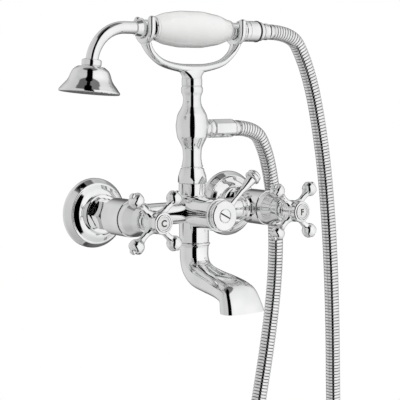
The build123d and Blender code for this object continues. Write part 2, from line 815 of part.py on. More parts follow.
with BuildPart() as lever_screw:
    dome = lever_screw_head_height-lever_screw_sunk
    turned(diverter_section, diverter_axis, [
        (0, screw_seat-lever_screw_length), (lever_screw_radius, screw_seat-lever_screw_length),
        (lever_screw_radius, screw_seat), (lever_screw_head_radius, screw_seat),
        (lever_screw_head_radius, lever_hub_reach+dome/2),
        (lever_screw_head_radius-dome, lever_hub_reach+dome), (0, lever_hub_reach+dome)])
    with BuildSketch(reach_plane(lever_hub_reach+dome-lever_slot_depth)):
        Rectangle(2*lever_screw_head_radius+cut_overrun, lever_slot_width, rotation=lever_slot_angle)
    extrude(amount=lever_slot_depth+cut_overrun, mode=Mode.SUBTRACT)
save(lever_screw, "lever_screw")

rod_start = lever_hub_radius+running_gap
rod_span = lever_rod_end-rod_start

with BuildPart() as lever_rod:
    with BuildSketch(lever_section):
        with BuildLine():
            flow_along((rod_start, lever_root_radius),
                       (rod_start+lever_waist_share*rod_span, lever_waist_radius),
                       (lever_rod_end, lever_flare_radius))
            Polyline((lever_rod_end, lever_flare_radius), (lever_rod_end, 0),
                     (lever_hub_radius-lever_tenon_depth, 0),
                     (lever_hub_radius-lever_tenon_depth, lever_tenon_radius),
                     (rod_start, lever_tenon_radius), (rod_start, lever_root_radius))
        make_face()
    revolve(axis=lever_axis)
save(lever_rod, "lever_rod")

with BuildPart() as lever_knob:
    with BuildSketch(lever_section):
        with BuildLine():
            crown = CenterArc((lever_rod_end+knob_length-knob_dome_radius, 0), knob_dome_radius,
                              0, degrees(asin(knob_radius/knob_dome_radius)))
            Polyline(crown@0, (lever_rod_end, 0), (lever_rod_end, knob_ring_radius),
                     (lever_rod_end+knob_ring_width, knob_ring_radius),
                     (lever_rod_end+knob_ring_width, knob_ring_radius-knob_groove),
                     (lever_rod_end+knob_ring_width+knob_groove, knob_ring_radius-knob_groove),
                     (lever_rod_end+2*knob_ring_width, knob_radius), crown@1)
        make_face()
    revolve(axis=lever_axis)
save(lever_knob, "lever_knob")


# Spout: a swept casting that turns out from the neck and ends in a wide lip
collar_bottom = -lower_neck_drop-spout_collar_height
spout_top = collar_bottom
mouth_z = -spout_mouth_drop

with BuildPart() as spout_collar:
    tube_between(fall_section, fall_axis, spout_spigot_radius+running_gap, spout_collar_radius,
                 collar_bottom, -lower_neck_drop)
    chamfer(spout_collar.edges().filter_by(GeomType.CIRCLE).sort_by(
        lambda edge: edge.radius)[-2:], spout_collar_height/5)
save(spout_collar, "spout_collar")

# Share of the way from neck to mouth in reach and in drop, tilt in degrees,
# then half width and half thickness as shares of the neck radius.
spout_stations_shares = [
    (0.00, 0.00, 0, 1.00, 1.00, 0.96),
    (0.00, 0.18, 0, 1.00, 1.00, 0.96),
    (0.07, 0.38, 30, 1.01, 0.98, 0.90),
    (0.26, 0.52, 64, 1.08, 0.88, 0.86),
    (0.54, 0.60, 78, 1.22, 0.79, 0.80),
    (0.90, 0.71, 64, 1.43, 0.75, 0.72),
]


def spout_plane(reach_share, drop_share, tilt):
    y = fall_y-reach_share*(spout_mouth_reach+fall_y)
    z = spout_top-drop_share*(spout_mouth_drop+spout_top)
    lean = radians(tilt)
    # The section's normal leans out of the wall as the spout turns forward.
    return Plane(origin=(0, y, z), x_dir=(1, 0, 0), z_dir=(0, -sin(lean), -cos(lean)))


def spout_section(station, shrink):
    reach_share, drop_share, tilt, wide, thick, corner = station
    half_width = spout_neck_radius*wide-shrink
    half_thick = spout_neck_radius*thick-shrink
    with BuildSketch(spout_plane(reach_share, drop_share, tilt)) as section:
        RectangleRounded(2*half_width, 2*half_thick, corner*min(half_width, half_thick))
    return section.sketch


def mouth_section(shrink):
    with BuildSketch(Plane(origin=(0, -spout_mouth_reach, mouth_z), x_dir=(1, 0, 0),
                           z_dir=(0, 0, -1))) as section:
        RectangleRounded(2*(spout_mouth_half_width-shrink), 2*(spout_mouth_half_depth-shrink),
                         spout_mouth_corner-shrink)
    return section.sketch


def spout_form(shrink, mode=Mode.ADD):
    stations = [spout_section(station, shrink) for station in spout_stations_shares]
    loft(stations, mode=mode)
    loft([stations[-1], mouth_section(shrink)], ruled=True, mode=mode)


with BuildPart() as spout:
    spout_form(0)
    spout_form(spout_wall, Mode.SUBTRACT)
    tube_between(fall_section, fall_axis, 0, spout_spigot_radius+thread_gap,
                 spout_top-spout_spigot_length+spout_collar_height-spout_seal_height, spout_top,
                 Mode.SUBTRACT)
save(spout, "spout")

seal_top = -lower_neck_drop-spout_spigot_length
with BuildPart() as spout_seal:
    tube_between(fall_section, fall_axis, fall_bore_radius, spout_spigot_radius,
                 seal_top-spout_seal_height+running_gap, seal_top)
save(spout_seal, "spout_seal")


# Riser column with its union nut
column_base = top_neck_height+riser_thread_length+washer_thickness
column_foot_top = column_base+column_foot_height
nut_shoulder = column_foot_top+seat_gap
nut_top = top_neck_height+column_nut_height

with BuildPart() as column_washer:
    tube_between(front_section, column_axis, riser_bore_radius, column_foot_radius,
                 column_base-washer_thickness, column_base)
save(column_washer, "column_washer")

with BuildPart() as column_nut:
    hex_blank(Plane.XY.offset(top_neck_height).move(Location((0, body_y, 0))),
              column_nut_flats, column_nut_height)
    turned(front_section, column_axis, [
        (0, top_neck_height), (column_nut_foot_radius, top_neck_height),
        (column_nut_foot_radius, top_neck_height+column_nut_height/6),
        (column_nut_top_radius, nut_top-column_nut_height/6),
        (column_nut_top_radius-column_nut_height/24, nut_top), (0, nut_top)], Mode.INTERSECT)
    turned(front_section, column_axis, [
        (0, top_neck_height-cut_overrun), (riser_thread_radius+thread_gap, top_neck_height-cut_overrun),
        (riser_thread_radius+thread_gap, nut_shoulder), (column_base_radius+thread_gap, nut_shoulder),
        (column_base_radius+thread_gap, nut_top+cut_overrun), (0, nut_top+cut_overrun)],
        Mode.SUBTRACT)
save(column_nut, "column_nut")

with BuildPart() as column:
    with BuildSketch(front_section):
        with BuildLine():
            foot_start = (column_base_radius, nut_top+seat_gap)
            bead_top = (column_bead_radius, column_bead_height)
            flow(foot_start, (column_waist_radius, column_waist_height),
                 (column_bulge_radius, column_bulge_height),
                 (column_neck_radius, column_neck_height), bead_top)
            lip = TangentArc(bead_top, (column_top_radius, column_top_height), tangent=(0, 1))
            Polyline(lip@1, (0, column_top_height), (0, column_base),
                     (column_foot_radius, column_base), (column_foot_radius, column_foot_top),
                     (column_base_radius, column_foot_top), foot_start)
        make_face()
    revolve(axis=column_axis)
    tube_along(outlet_section, outlet_axis, 0, outlet_boss_radius, 0, outlet_boss_end)
    tube_between(front_section, column_axis, 0, column_bore_radius,
                 column_base-cut_overrun, column_bore_top, Mode.SUBTRACT)
    tube_between(front_section, column_axis, 0, cradle_stud_radius+running_gap,
                 column_top_height-cradle_stud_reach, column_top_height+cut_overrun, Mode.SUBTRACT)
    tube_along(outlet_section, outlet_axis, 0, outlet_spigot_radius+running_gap,
               outlet_boss_end-outlet_spigot_length, outlet_boss_end+cut_overrun, Mode.SUBTRACT)
    tube_along(outlet_section, outlet_axis, 0, outlet_bore_radius, 0, outlet_boss_end, Mode.SUBTRACT)
save(column, "column")

# Hose outlet: a nipple screwed into the boss, with the hose's hexagon nut on it
outlet_thread_end = outlet_collar_end+outlet_thread_length
outlet_washer_end = outlet_thread_end+washer_thickness

with BuildPart() as hose_outlet:
    bead = (outlet_collar_radius-outlet_boss_radius)/2
    turned(outlet_section, outlet_axis, [
        (outlet_boss_end-outlet_spigot_length+seat_gap, outlet_bore_radius),
        (outlet_boss_end-outlet_spigot_length+seat_gap, outlet_spigot_radius),
        (outlet_boss_end, outlet_spigot_radius), (outlet_boss_end, outlet_collar_radius-bead),
        (outlet_boss_end+bead, outlet_collar_radius), (outlet_collar_end-bead, outlet_collar_radius),
        (outlet_collar_end, outlet_collar_radius-bead), (outlet_collar_end, outlet_thread_radius),
        (outlet_thread_end, outlet_thread_radius), (outlet_thread_end, outlet_bore_radius)])
save(hose_outlet, "hose_outlet")

nut_start = outlet_collar_end+seat_gap
with BuildPart() as outlet_hose_nut:
    hex_blank(Plane(origin=(nut_start, body_y, outlet_height), x_dir=(0, 1, 0), z_dir=(1, 0, 0)),
              outlet_nut_flats, outlet_nut_end-nut_start)
    corner_radius = outlet_nut_flats/sqrt(3)
    chamfer_run = nut_chamfer_share*outlet_nut_flats
    turned(outlet_section, outlet_axis, [
        (nut_start, 0), (nut_start, outlet_nut_flats/2), (nut_start+chamfer_run, corner_radius),
        (outlet_nut_end-4*chamfer_run, corner_radius), (outlet_nut_end-chamfer_run, hose_radius+seat_gap),
        (outlet_nut_end, hose_radius+seat_gap), (outlet_nut_end, 0)], Mode.INTERSECT)
    turned(outlet_section, outlet_axis, [
        (nut_start-cut_overrun, 0), (nut_start-cut_overrun, outlet_thread_radius+thread_gap),
        (outlet_washer_end, outlet_thread_radius+thread_gap), (outlet_washer_end, outlet_nut_throat_radius),
        (outlet_nut_end+cut_overrun, outlet_nut_throat_radius), (outlet_nut_end+cut_overrun, 0)],
        Mode.SUBTRACT)
save(outlet_hose_nut, "outlet_hose_nut")


# Cradle: stem, bow and two hooks whose prongs hold the handset
stem_top = column_top_height+cradle_stem_height
cradle_web_height = stem_top+cradle_web_rise
hook_bottom = handset_height-hook_gauge

# Places along the bow: offset as a share of the hook's, height as a share of the rise,
# tilt in degrees, then half depth and half thickness as shares of the hook bar's radius.
bow_stations_shares = [
    (0.00, 0.00, 0, 2.10, 1.40),
    (0.34, 0.06, 12, 1.75, 1.08),
    (0.66, 0.24, 32, 1.50, 0.98),
    (0.88, 0.58, 58, 1.55, 0.96),
    (0.985, 0.94, 80, 2.10, 0.98),
]
bow_rise = hook_bottom-cradle_web_height


def make_bow_arm(side):
    sections = []
    for offset, height, tilt, depth, thickness in bow_stations_shares:
        lean = radians(tilt)
        plane = Plane(origin=(side*offset*hook_offset, body_y, cradle_web_height+height*bow_rise),
                      x_dir=(0, 1, 0), z_dir=(side*cos(lean), 0, sin(lean)))
        with BuildSketch(plane) as section:
            Ellipse(depth*hook_bar_radius, thickness*hook_bar_radius)
        sections.append(section.sketch)
    loft(sections)


def make_hook(side):
    x = side*hook_offset
    straight = hook_top-handset_height
    with BuildLine(Plane(origin=(x, body_y, handset_height), x_dir=(0, 1, 0), z_dir=(1, 0, 0))) as path:
        Line((-hook_gauge, straight), (-hook_gauge, 0))
        CenterArc((0, 0), hook_gauge, 180, 180)
        Line((hook_gauge, 0), (hook_gauge, straight))
    with BuildSketch(Plane(origin=(x, body_y-hook_gauge, hook_top), x_dir=(1, 0, 0),
                           z_dir=(0, 0, -1))) as bar:
        Circle(hook_bar_radius)
    sweep(bar.sketch, path=path.line)


with BuildPart() as cradle:
    turned(front_section, column_axis, [
        (0, column_top_height), (cradle_stem_radius-seat_gap, column_top_height),
        (cradle_stem_radius, column_top_height+seat_gap),
        (cradle_stem_radius, stem_top-2*cradle_stem_edge),
        (cradle_stem_radius-cradle_stem_edge, stem_top), (0, stem_top)])
    with BuildSketch(Plane.XY.offset(stem_top-cradle_stem_edge).move(Location((0, body_y, 0)))):
        Circle(cradle_stem_radius-cradle_stem_edge)
    with BuildSketch(Plane.XY.offset(cradle_web_height).move(Location((0, body_y, 0)))):
        Ellipse(cradle_web_half_width, cradle_web_half_depth)
    loft()
    for side in (-1, 1):
        make_bow_arm(side)
        make_hook(side)
        for prong in (-1, 1):
            with Locations((side*hook_offset, body_y+prong*hook_gauge, hook_top)):
                Sphere(hook_bar_radius)
    tube_between(front_section, column_axis, 0, cradle_stud_radius+running_gap,
                 column_top_height-cut_overrun, column_top_height+cradle_stud_reach, Mode.SUBTRACT)
save(cradle, "cradle")

with BuildPart() as cradle_stud:
    tube_between(front_section, column_axis, 0, cradle_stud_radius,
                 column_top_height-cradle_stud_reach+seat_gap,
                 column_top_height+cradle_stud_reach-seat_gap)
save(cradle_stud, "cradle_stud")


# Handset: bent neck with the head collar, rose and spray plate
tilt_angle = radians(head_tilt)
bend_centre = (-neck_bend_reach, handset_height-neck_bend_radius)
head_point = (bend_centre[0]-neck_bend_radius*cos(tilt_angle),
              bend_centre[1]+neck_bend_radius*sin(tilt_angle))
head_down = (-sin(tilt_angle), -cos(tilt_angle))
head_side = (cos(tilt_angle), -sin(tilt_angle))
# In the head's section local x is the radius and local y the way down the spray.
head_section = Plane(origin=(head_point[0], body_y, head_point[1]),
                     x_dir=(head_side[0], 0, head_side[1]), z_dir=(0, 1, 0))
head_axis = Axis((head_point[0], body_y, head_point[1]), (head_down[0], 0, head_down[1]))




with BuildPart() as handset_neck:
    tube_along(handset_section, handset_axis, neck_bore_radius, neck_radius,
               -neck_bend_reach, -hook_offset)
    with BuildSketch(Plane(origin=(-neck_bend_reach, body_y, handset_height), x_dir=(0, 1, 0),
                           z_dir=(-1, 0, 0))) as neck_ring:
        Circle(neck_radius)
        Circle(neck_bore_radius, mode=Mode.SUBTRACT)
    revolve(neck_ring.sketch, axis=Axis((bend_centre[0], body_y, bend_centre[1]), (0, -1, 0)),
            revolution_arc=90-head_tilt)
    turned(head_section, head_axis, [
        (neck_bore_radius, 0), (head_collar_radius-head_collar_bead, 0),
        (head_collar_radius, head_collar_bead), (head_collar_radius, head_collar_height),
        (neck_bore_radius, head_collar_height)])
save(handset_neck, "handset_neck")

rose_top = head_collar_height+running_gap
rose_bottom = rose_top+rose_height
plate_bottom = rose_bottom-spray_plate_recess
plate_top = plate_bottom-spray_plate_thickness
plate_radius = rose_radius-rose_wall-rose_rim
# Share of the flare in radius, and of the height on the way down
rose_bell_shares = [(0.0, 0.0), (0.26, 0.2), (0.44, 0.5)]


def rose_bell(shrink):
    flare = rose_radius-rose_shoulder_radius
    return [(rose_shoulder_radius+share*flare-shrink, rose_top+drop*rose_height+shrink)
            for share, drop in rose_bell_shares]


with BuildPart() as shower_rose:
    with BuildSketch(head_section):
        with BuildLine():
            bell = ThreePointArc(*rose_bell(0))
            flare = TangentArc(bell@1, (rose_radius, rose_bottom-rose_rim), tangent=bell % 1)
            rim = Polyline(flare@1, (rose_radius, rose_bottom), (plate_radius+running_gap, rose_bottom),
                           (plate_radius+running_gap, plate_top-running_gap))
            inner_bell = ThreePointArc(*rose_bell(rose_wall))
            TangentArc(inner_bell@1, rim@1, tangent=inner_bell % 1)
            Polyline(inner_bell@0, (neck_bore_radius, rose_top+rose_wall), (neck_bore_radius, rose_top),
                     bell@0)
        make_face()
    revolve(axis=head_axis)
save(shower_rose, "shower_rose")

with BuildPart() as spray_plate:
    tube_between(head_section, head_axis, 0, plate_radius, plate_top, plate_bottom)
    with BuildSketch(Plane(origin=(head_point[0]+head_down[0]*plate_bottom, body_y,
                                   head_point[1]+head_down[1]*plate_bottom),
                           x_dir=(0, 1, 0), z_dir=(head_down[0], 0, head_down[1]))):
        Circle(spray_hole_radius)
        for ring, count in enumerate(spray_ring_counts):
            with PolarLocations((ring+1)*spray_ring_pitch, count):
                RegularPolygon(spray_hole_radius, 6)
    extrude(amount=-spray_plate_thickness, mode=Mode.SUBTRACT)
save(spray_plate, "spray_plate")


# Handset: porcelain handle on its waterway tube, ferrules, tail
with BuildPart() as porcelain_handle:
    bore = waterway_radius+seat_gap
    with BuildSketch(handset_section):
        with BuildLine():
            belly = ThreePointArc((-handle_belly_end, handle_shoulder_radius),
                                  (0, handle_belly_radius),
                                  (handle_belly_end, handle_shoulder_radius))
            left = TangentArc(belly@0, (-handle_left_end, handle_left_radius), tangent=(belly % 0)*-1)
            right = TangentArc(belly@1, (handle_right_end, handle_right_radius), tangent=belly % 1)
            Polyline(right@1, (handle_right_end, bore), (-handle_left_end, bore), left@1)
        make_face()
    revolve(axis=handset_axis)
save(porcelain_handle, "porcelain_handle")

with BuildPart() as waterway_tube:
    tube_along(handset_section, handset_axis, waterway_bore_radius, waterway_radius,
               -waterway_left, waterway_right)
save(waterway_tube, "waterway_tube")

seat_inner = hook_offset-hook_bar_radius-hook_side_gap
seat_outer = hook_offset+hook_bar_radius+hook_side_gap

with BuildPart() as front_ferrule:
    turned(handset_section, handset_axis, [
        (-handle_left_end, waterway_radius+running_gap), (-handle_left_end, handle_left_radius),
        (-handle_left_end-ferrule_flange/2, handle_left_radius+ferrule_flange/4),
        (-handle_left_end-ferrule_flange, handle_left_radius-ferrule_flange/4),
        (-seat_inner, ferrule_seat_radius), (-seat_outer, ferrule_seat_radius),
        (-seat_outer, ferrule_seat_radius+ferrule_flange/2),
        (-seat_outer-ferrule_flange/2, ferrule_seat_radius+ferrule_flange/2),
        (-seat_outer-ferrule_cone_length, neck_radius+thread_gap+ferrule_flange/6),
        (-seat_outer-ferrule_cone_length, neck_radius+thread_gap),
        (-hook_offset+seat_gap, neck_radius+thread_gap),
        (-hook_offset+seat_gap, waterway_radius+running_gap)])
save(front_ferrule, "front_ferrule")

with BuildPart() as rear_ferrule:
    turned(handset_section, handset_axis, [
        (handle_right_end, waterway_radius+running_gap), (handle_right_end, handle_right_radius),
        (handle_right_end+ferrule_flange/3, handle_right_radius+ferrule_flange/4),
        (handle_right_end+ferrule_flange, ferrule_seat_radius), (seat_outer, ferrule_seat_radius),
        (seat_outer, waterway_radius+running_gap)])
save(rear_ferrule, "rear_ferrule")

with BuildPart() as handset_tail:
    turned(handset_section, handset_axis, [
        (seat_outer+running_gap, waterway_radius+running_gap),
        (seat_outer+running_gap, tail_collar_radius-ferrule_flange/2),
        (seat_outer+ferrule_flange/2, tail_collar_radius),
        (seat_outer+ferrule_flange, tail_collar_radius-ferrule_flange/2),
        (seat_outer+2*ferrule_flange, tail_collar_radius),
        (tail_flange_end-ferrule_flange/2, tail_collar_radius),
        (tail_flange_end, tail_collar_radius-ferrule_flange/2),
        (tail_flange_end, tail_thread_radius), (tail_thread_end, tail_thread_radius),
        (tail_thread_end, waterway_bore_radius),
        (waterway_right+seat_gap, waterway_bore_radius),
        (waterway_right+seat_gap, waterway_radius+running_gap)])
save(handset_tail, "handset_tail")

tail_washer_end = tail_thread_end+washer_thickness
with BuildPart() as handset_hose_nut:
    start = tail_flange_end+seat_gap
    edge = ferrule_flange/4
    turned(handset_section, handset_axis, [
        (start, tail_thread_radius+thread_gap), (start, hose_nut_radius-edge),
        (start+edge, hose_nut_radius), (hose_nut_end-edge, hose_nut_radius),
        (hose_nut_end, hose_nut_radius-edge), (hose_nut_end, hose_nut_throat_radius+running_gap),
        (tail_washer_end+hose_sleeve_collar_length+seat_gap, hose_nut_throat_radius+running_gap),
        (tail_washer_end+hose_sleeve_collar_length+seat_gap, tail_thread_radius+thread_gap)])
save(handset_hose_nut, "handset_hose_nut")

with BuildPart() as swivel_ring:
    tube_along(handset_section, handset_axis, hose_nut_throat_radius+running_gap, swivel_ring_radius,
               hose_nut_end, hose_nut_end+swivel_ring_width)
    chamfer(swivel_ring.edges().filter_by(GeomType.CIRCLE).sort_by(
        lambda edge: edge.radius)[-2:], swivel_ring_width/4)
save(swivel_ring, "swivel_ring")

with BuildPart() as hose_end_sleeve:
    shoulder = hose_nut_end+swivel_ring_width
    turned(handset_section, handset_axis, [
        (tail_washer_end, waterway_bore_radius), (tail_washer_end, hose_sleeve_collar_radius),
        (tail_washer_end+hose_sleeve_collar_length, hose_sleeve_collar_radius),
        (tail_washer_end+hose_sleeve_collar_length, hose_nut_throat_radius),
        (shoulder, hose_nut_throat_radius), (shoulder, hose_nut_radius-ferrule_flange/2),
        (shoulder+ferrule_flange, hose_sleeve_radius), (hose_sleeve_end, hose_sleeve_radius+seat_gap),
        (hose_sleeve_end, waterway_bore_radius)])
save(hose_end_sleeve, "hose_end_sleeve")

with BuildPart() as outlet_hose_washer:
    tube_along(outlet_section, outlet_axis, outlet_bore_radius, outlet_thread_radius,
               outlet_thread_end, outlet_washer_end)
save(outlet_hose_washer, "outlet_hose_washer")

with BuildPart() as handset_hose_washer:
    tube_along(handset_section, handset_axis, waterway_bore_radius, tail_thread_radius,
               tail_thread_end, tail_washer_end)
save(handset_hose_washer, "handset_hose_washer")


# Shower hose: one loop that hangs from the outlet and rises to the handset.
# The route's points are chosen by hand, from the outlet to the handset.
hose_route = [
    (outlet_nut_end, body_y, outlet_height),
    (71.2, body_y, outlet_height),
    (85.5, -46.5, 52.5),
    (94, -43.5, 26),
    (100, -41, -5),
    (102.5, -39.5, -42),
    (101, -39, -86),
    (94, -40, -138),
    (83, -41, -198),
    (70, -42, -262),
    (60, -43, -326),
    (56, -44, -392),
    (76, -45, -438),
    (118, -46, -456),
    (160, -47, -438),
    (180, -48, -392),
    (179, -48.5, -326),
    (175, -48.5, -260),
    (172, -48.5, -194),
    (171, -48.5, -134),
    (169, -48, -76),
    (165, -48, -22),
    (159, -48, 30),
    (151, -48, 74),
    (142, -48, 110),
    (130.5, -48, 138.5),
    (117.7, body_y, handset_height),
    (hose_sleeve_end, body_y, handset_height),
]


def route_radii(points):
    radii = []
    for before, here, after in zip(points, points[1:], points[2:]):
        arriving = Vector(*here)-Vector(*before)
        leaving = Vector(*after)-Vector(*here)
        turn = radians(arriving.get_angle(leaving))
        radii.append(0.45*min(arriving.length, leaving.length)/tan(turn/2))
    return radii


radii = route_radii(hose_route)
with BuildLine() as hose_line:
    FilletPolyline(*hose_route, radius=radii)
hose_path = hose_line.wires()[0]
hose_length = hose_path.length
print("hose radii", [round(radius) for radius in radii])
print("hose length", round(hose_length, 1))

# Each rib is a crest and a root; both ends stay plain for one diameter.
end_run = 2*hose_radius
rib_pitch = (hose_length-2*end_run)/hose_rib_count
rib_flank = hose_rib_flank_share*rib_pitch
rib_crest = hose_rib_crest_share*rib_pitch
hose_places = [(0, hose_radius)]
for rib in range(hose_rib_count):
    rib_start = end_run+rib*rib_pitch
    hose_places.append((rib_start, hose_root_radius))
    hose_places.append((rib_start+rib_flank, hose_radius))
    hose_places.append((rib_start+rib_flank+rib_crest, hose_radius))
    hose_places.append((rib_start+2*rib_flank+rib_crest, hose_root_radius))
hose_places.append((hose_length-end_run, hose_root_radius))
hose_places.append((hose_length, hose_radius))

hose_sections = []
for place, radius in hose_places:
    share = place/hose_length
    with BuildSketch(Plane(origin=hose_path.position_at(share), x_dir=(0, 1, 0),
                           z_dir=hose_path.tangent_at(share))) as hose_section:
        Circle(radius)
    hose_sections.append(hose_section.sketch)

with BuildPart() as shower_hose:
    loft(hose_sections, ruled=True)
    with BuildSketch(Plane(origin=hose_route[0], x_dir=(0, 1, 0), z_dir=(1, 0, 0))) as hose_bore:
        Circle(hose_bore_radius)
    sweep(hose_bore.sketch, path=hose_path, mode=Mode.SUBTRACT)
section_volume = pi*(hose_root_radius**2-hose_bore_radius**2)*hose_length
print("hose volume", round(shower_hose.part.volume), "root section times length", round(section_volume))
save(shower_hose, "shower_hose")
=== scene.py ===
# Looks of the wall-mounted bath and shower mixer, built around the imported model.
# Lengths are in millimetres and become metres where a mesh is made.
# The hose's route, the camera and the stage are in metres from the start.
import json
import math

import bpy
import numpy as np
from mathutils import Matrix, Vector


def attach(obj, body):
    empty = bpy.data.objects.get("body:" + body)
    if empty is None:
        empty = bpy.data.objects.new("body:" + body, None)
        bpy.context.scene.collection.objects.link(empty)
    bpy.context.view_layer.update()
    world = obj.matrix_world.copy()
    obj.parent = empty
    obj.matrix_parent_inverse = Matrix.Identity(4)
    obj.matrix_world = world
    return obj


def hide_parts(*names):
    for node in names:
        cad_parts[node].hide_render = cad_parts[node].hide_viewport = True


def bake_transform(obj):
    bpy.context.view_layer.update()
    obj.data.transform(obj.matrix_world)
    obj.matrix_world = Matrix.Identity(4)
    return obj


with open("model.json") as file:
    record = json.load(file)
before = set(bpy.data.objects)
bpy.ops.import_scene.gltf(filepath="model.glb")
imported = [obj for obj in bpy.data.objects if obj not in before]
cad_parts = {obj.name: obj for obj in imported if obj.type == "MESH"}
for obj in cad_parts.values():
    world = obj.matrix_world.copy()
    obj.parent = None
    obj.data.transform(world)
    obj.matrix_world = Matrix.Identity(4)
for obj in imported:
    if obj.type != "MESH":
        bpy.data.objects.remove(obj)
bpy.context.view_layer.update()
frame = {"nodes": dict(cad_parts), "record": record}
nodes = frame["nodes"]
mm = 0.001

# where the mixer's axes run: +X to the cold side, -Y out of the wall, +Z up
layout = {
    "hotX": -75.0,
    "coldX": 75.0,
    "bodyReach": 48.0,
    "fallReach": 50.5,
    "handsetHeight": 161.0,
    "outletHeight": 73.5,
    "leverReach": 91.6,
    "leverAngle": 43.0,
    "armReach": 98.8,
    "neckBendReach": 70.7,
    "neckBendRadius": 33.0,
    "headTilt": 6.0,
}
bodyY = -layout["bodyReach"]
print("frame loaded:", len(nodes), "nodes")


# Materials
def newMaterial(name):
    material = bpy.data.materials.new(name)
    material.use_nodes = True
    tree = material.node_tree
    shader = tree.nodes["Principled BSDF"]
    return material, tree, shader


def objectNoise(tree, scale, detail):
    place = tree.nodes.new("ShaderNodeTexCoord")
    noise = tree.nodes.new("ShaderNodeTexNoise")
    noise.inputs["Scale"].default_value = scale
    noise.inputs["Detail"].default_value = detail
    tree.links.new(place.outputs["Object"], noise.inputs["Vector"])
    return noise.outputs["Fac"]


# the span that the noise keeps to for the most part
noiseSpan = (0.3, 0.7)


def spread(tree, source, low, high):
    # maps a noise to the span that a socket needs
    ramp = tree.nodes.new("ShaderNodeMapRange")
    ramp.inputs["From Min"].default_value, ramp.inputs["From Max"].default_value = noiseSpan
    ramp.inputs["To Min"].default_value = low
    ramp.inputs["To Max"].default_value = high
    tree.links.new(source, ramp.inputs["Value"])
    return ramp.outputs["Result"]


def tone(tree, shader, noise, dark, light):
    # the base colour drifts between two tones with the noise
    ramp = tree.nodes.new("ShaderNodeValToRGB")
    ramp.color_ramp.elements[0].color = (*dark, 1)
    ramp.color_ramp.elements[1].color = (*light, 1)
    tree.links.new(spread(tree, noise, 0, 1), ramp.inputs["Fac"])
    tree.links.new(ramp.outputs["Color"], shader.inputs["Base Color"])


def bump(tree, shader, height, distance, strength):
    bumper = tree.nodes.new("ShaderNodeBump")
    bumper.inputs["Distance"].default_value = distance
    bumper.inputs["Strength"].default_value = strength
    tree.links.new(height, bumper.inputs["Height"])
    tree.links.new(bumper.outputs["Normal"], shader.inputs["Normal"])


def metal(name, dark, light, rough, smearSize, rippleSize, rippleDepth):
    # plated, turned or drawn metal: smears in colour and roughness, and a fine ripple
    material, tree, shader = newMaterial(name)
    shader.inputs["Metallic"].default_value = 1.0
    smear = objectNoise(tree, smearSize, detail=4)
    ripple = objectNoise(tree, rippleSize, detail=2)
    tone(tree, shader, smear, dark, light)
    tree.links.new(spread(tree, smear, *rough), shader.inputs["Roughness"])
    bump(tree, shader, ripple, distance=0.05*mm, strength=rippleDepth)
    return material


def glazed(name, dark, light, rough, speck):
    # white porcelain or enamel: a clear glaze over a body with faint clouds and pinholes
    material, tree, shader = newMaterial(name)
    shader.inputs["Coat Weight"].default_value = 0.8
    shader.inputs["Coat Roughness"].default_value = 0.03
    shader.inputs["Subsurface Weight"].default_value = 0.05
    shader.inputs["Subsurface Radius"].default_value = (0.002, 0.0018, 0.0015)
    cloud = objectNoise(tree, 40, detail=4)
    pinholes = objectNoise(tree, speck, detail=2)
    tone(tree, shader, cloud, dark, light)
    tree.links.new(spread(tree, cloud, rough*0.8, rough*1.4), shader.inputs["Roughness"])
    bump(tree, shader, pinholes, distance=0.04*mm, strength=0.05)
    return material


def moulded(name, dark, light, rough, grain):
    # rubber, fibre, ceramic, or ink that also serves as painted shade in a screw's slot: a fine
    # grain in colour, roughness and relief
    material, tree, shader = newMaterial(name)
    grainNoise = objectNoise(tree, grain, detail=3)
    tone(tree, shader, grainNoise, dark, light)
    tree.links.new(spread(tree, grainNoise, rough*0.85, rough*1.15), shader.inputs["Roughness"])
    bump(tree, shader, grainNoise, distance=0.1*mm, strength=0.15)
    return material


# dark and light tone, span of roughness, size of the smears, size and depth of the ripple
metalLooks = {
    "polishedChrome": ((0.80, 0.805, 0.81), (0.90, 0.90, 0.90), (0.025, 0.075), 55, 900, 0.006),
    "nutChrome": ((0.76, 0.765, 0.77), (0.88, 0.88, 0.88), (0.05, 0.13), 80, 900, 0.012),
    "hoseChrome": ((0.76, 0.76, 0.765), (0.88, 0.88, 0.88), (0.06, 0.14), 140, 2200, 0.06),
    # the next look is painted shade: a dark copy of the hose's steel for the deep faces of its
    # grooves
    "hoseGroovePaintedShade": ((0.10, 0.10, 0.10), (0.20, 0.20, 0.20), (0.35, 0.5), 140, 2200, 0.06),
    "machinedBrass": ((0.52, 0.38, 0.17), (0.72, 0.56, 0.28), (0.18, 0.34), 60, 1800, 0.08),
    "stainlessSteel": ((0.52, 0.52, 0.52), (0.68, 0.68, 0.67), (0.2, 0.36), 90, 2000, 0.08),
    "sprayFace": ((0.46, 0.465, 0.47), (0.64, 0.64, 0.64), (0.2, 0.34), 70, 1500, 0.06),
}
# dark and light tone, roughness, and size of the pinholes or of the grain
glazedLooks = {
    "porcelain": ((0.82, 0.82, 0.81), (0.88, 0.88, 0.87), 0.16, 1200),
    "indexEnamel": ((0.78, 0.78, 0.77), (0.86, 0.86, 0.85), 0.2, 1500),
}
mouldedLooks = {
    "blackRubber": ((0.012, 0.012, 0.013), (0.03, 0.03, 0.031), 0.5, 1500),
    "fibreWasher": ((0.16, 0.07, 0.035), (0.27, 0.14, 0.08), 0.75, 1600),
    "lappedCeramic": ((0.72, 0.69, 0.62), (0.84, 0.82, 0.76), 0.25, 1400),
    # the letters' ink, which also paints the shade in the lever screw's slot
    "letterInkAndSlotShade": ((0.02, 0.02, 0.022), (0.05, 0.05, 0.055), 0.4, 2000),
}
materials = {name: metal(name, *look) for name, look in metalLooks.items()}
materials.update({name: glazed(name, *look) for name, look in glazedLooks.items()})
materials.update({name: moulded(name, *look) for name, look in mouldedLooks.items()})

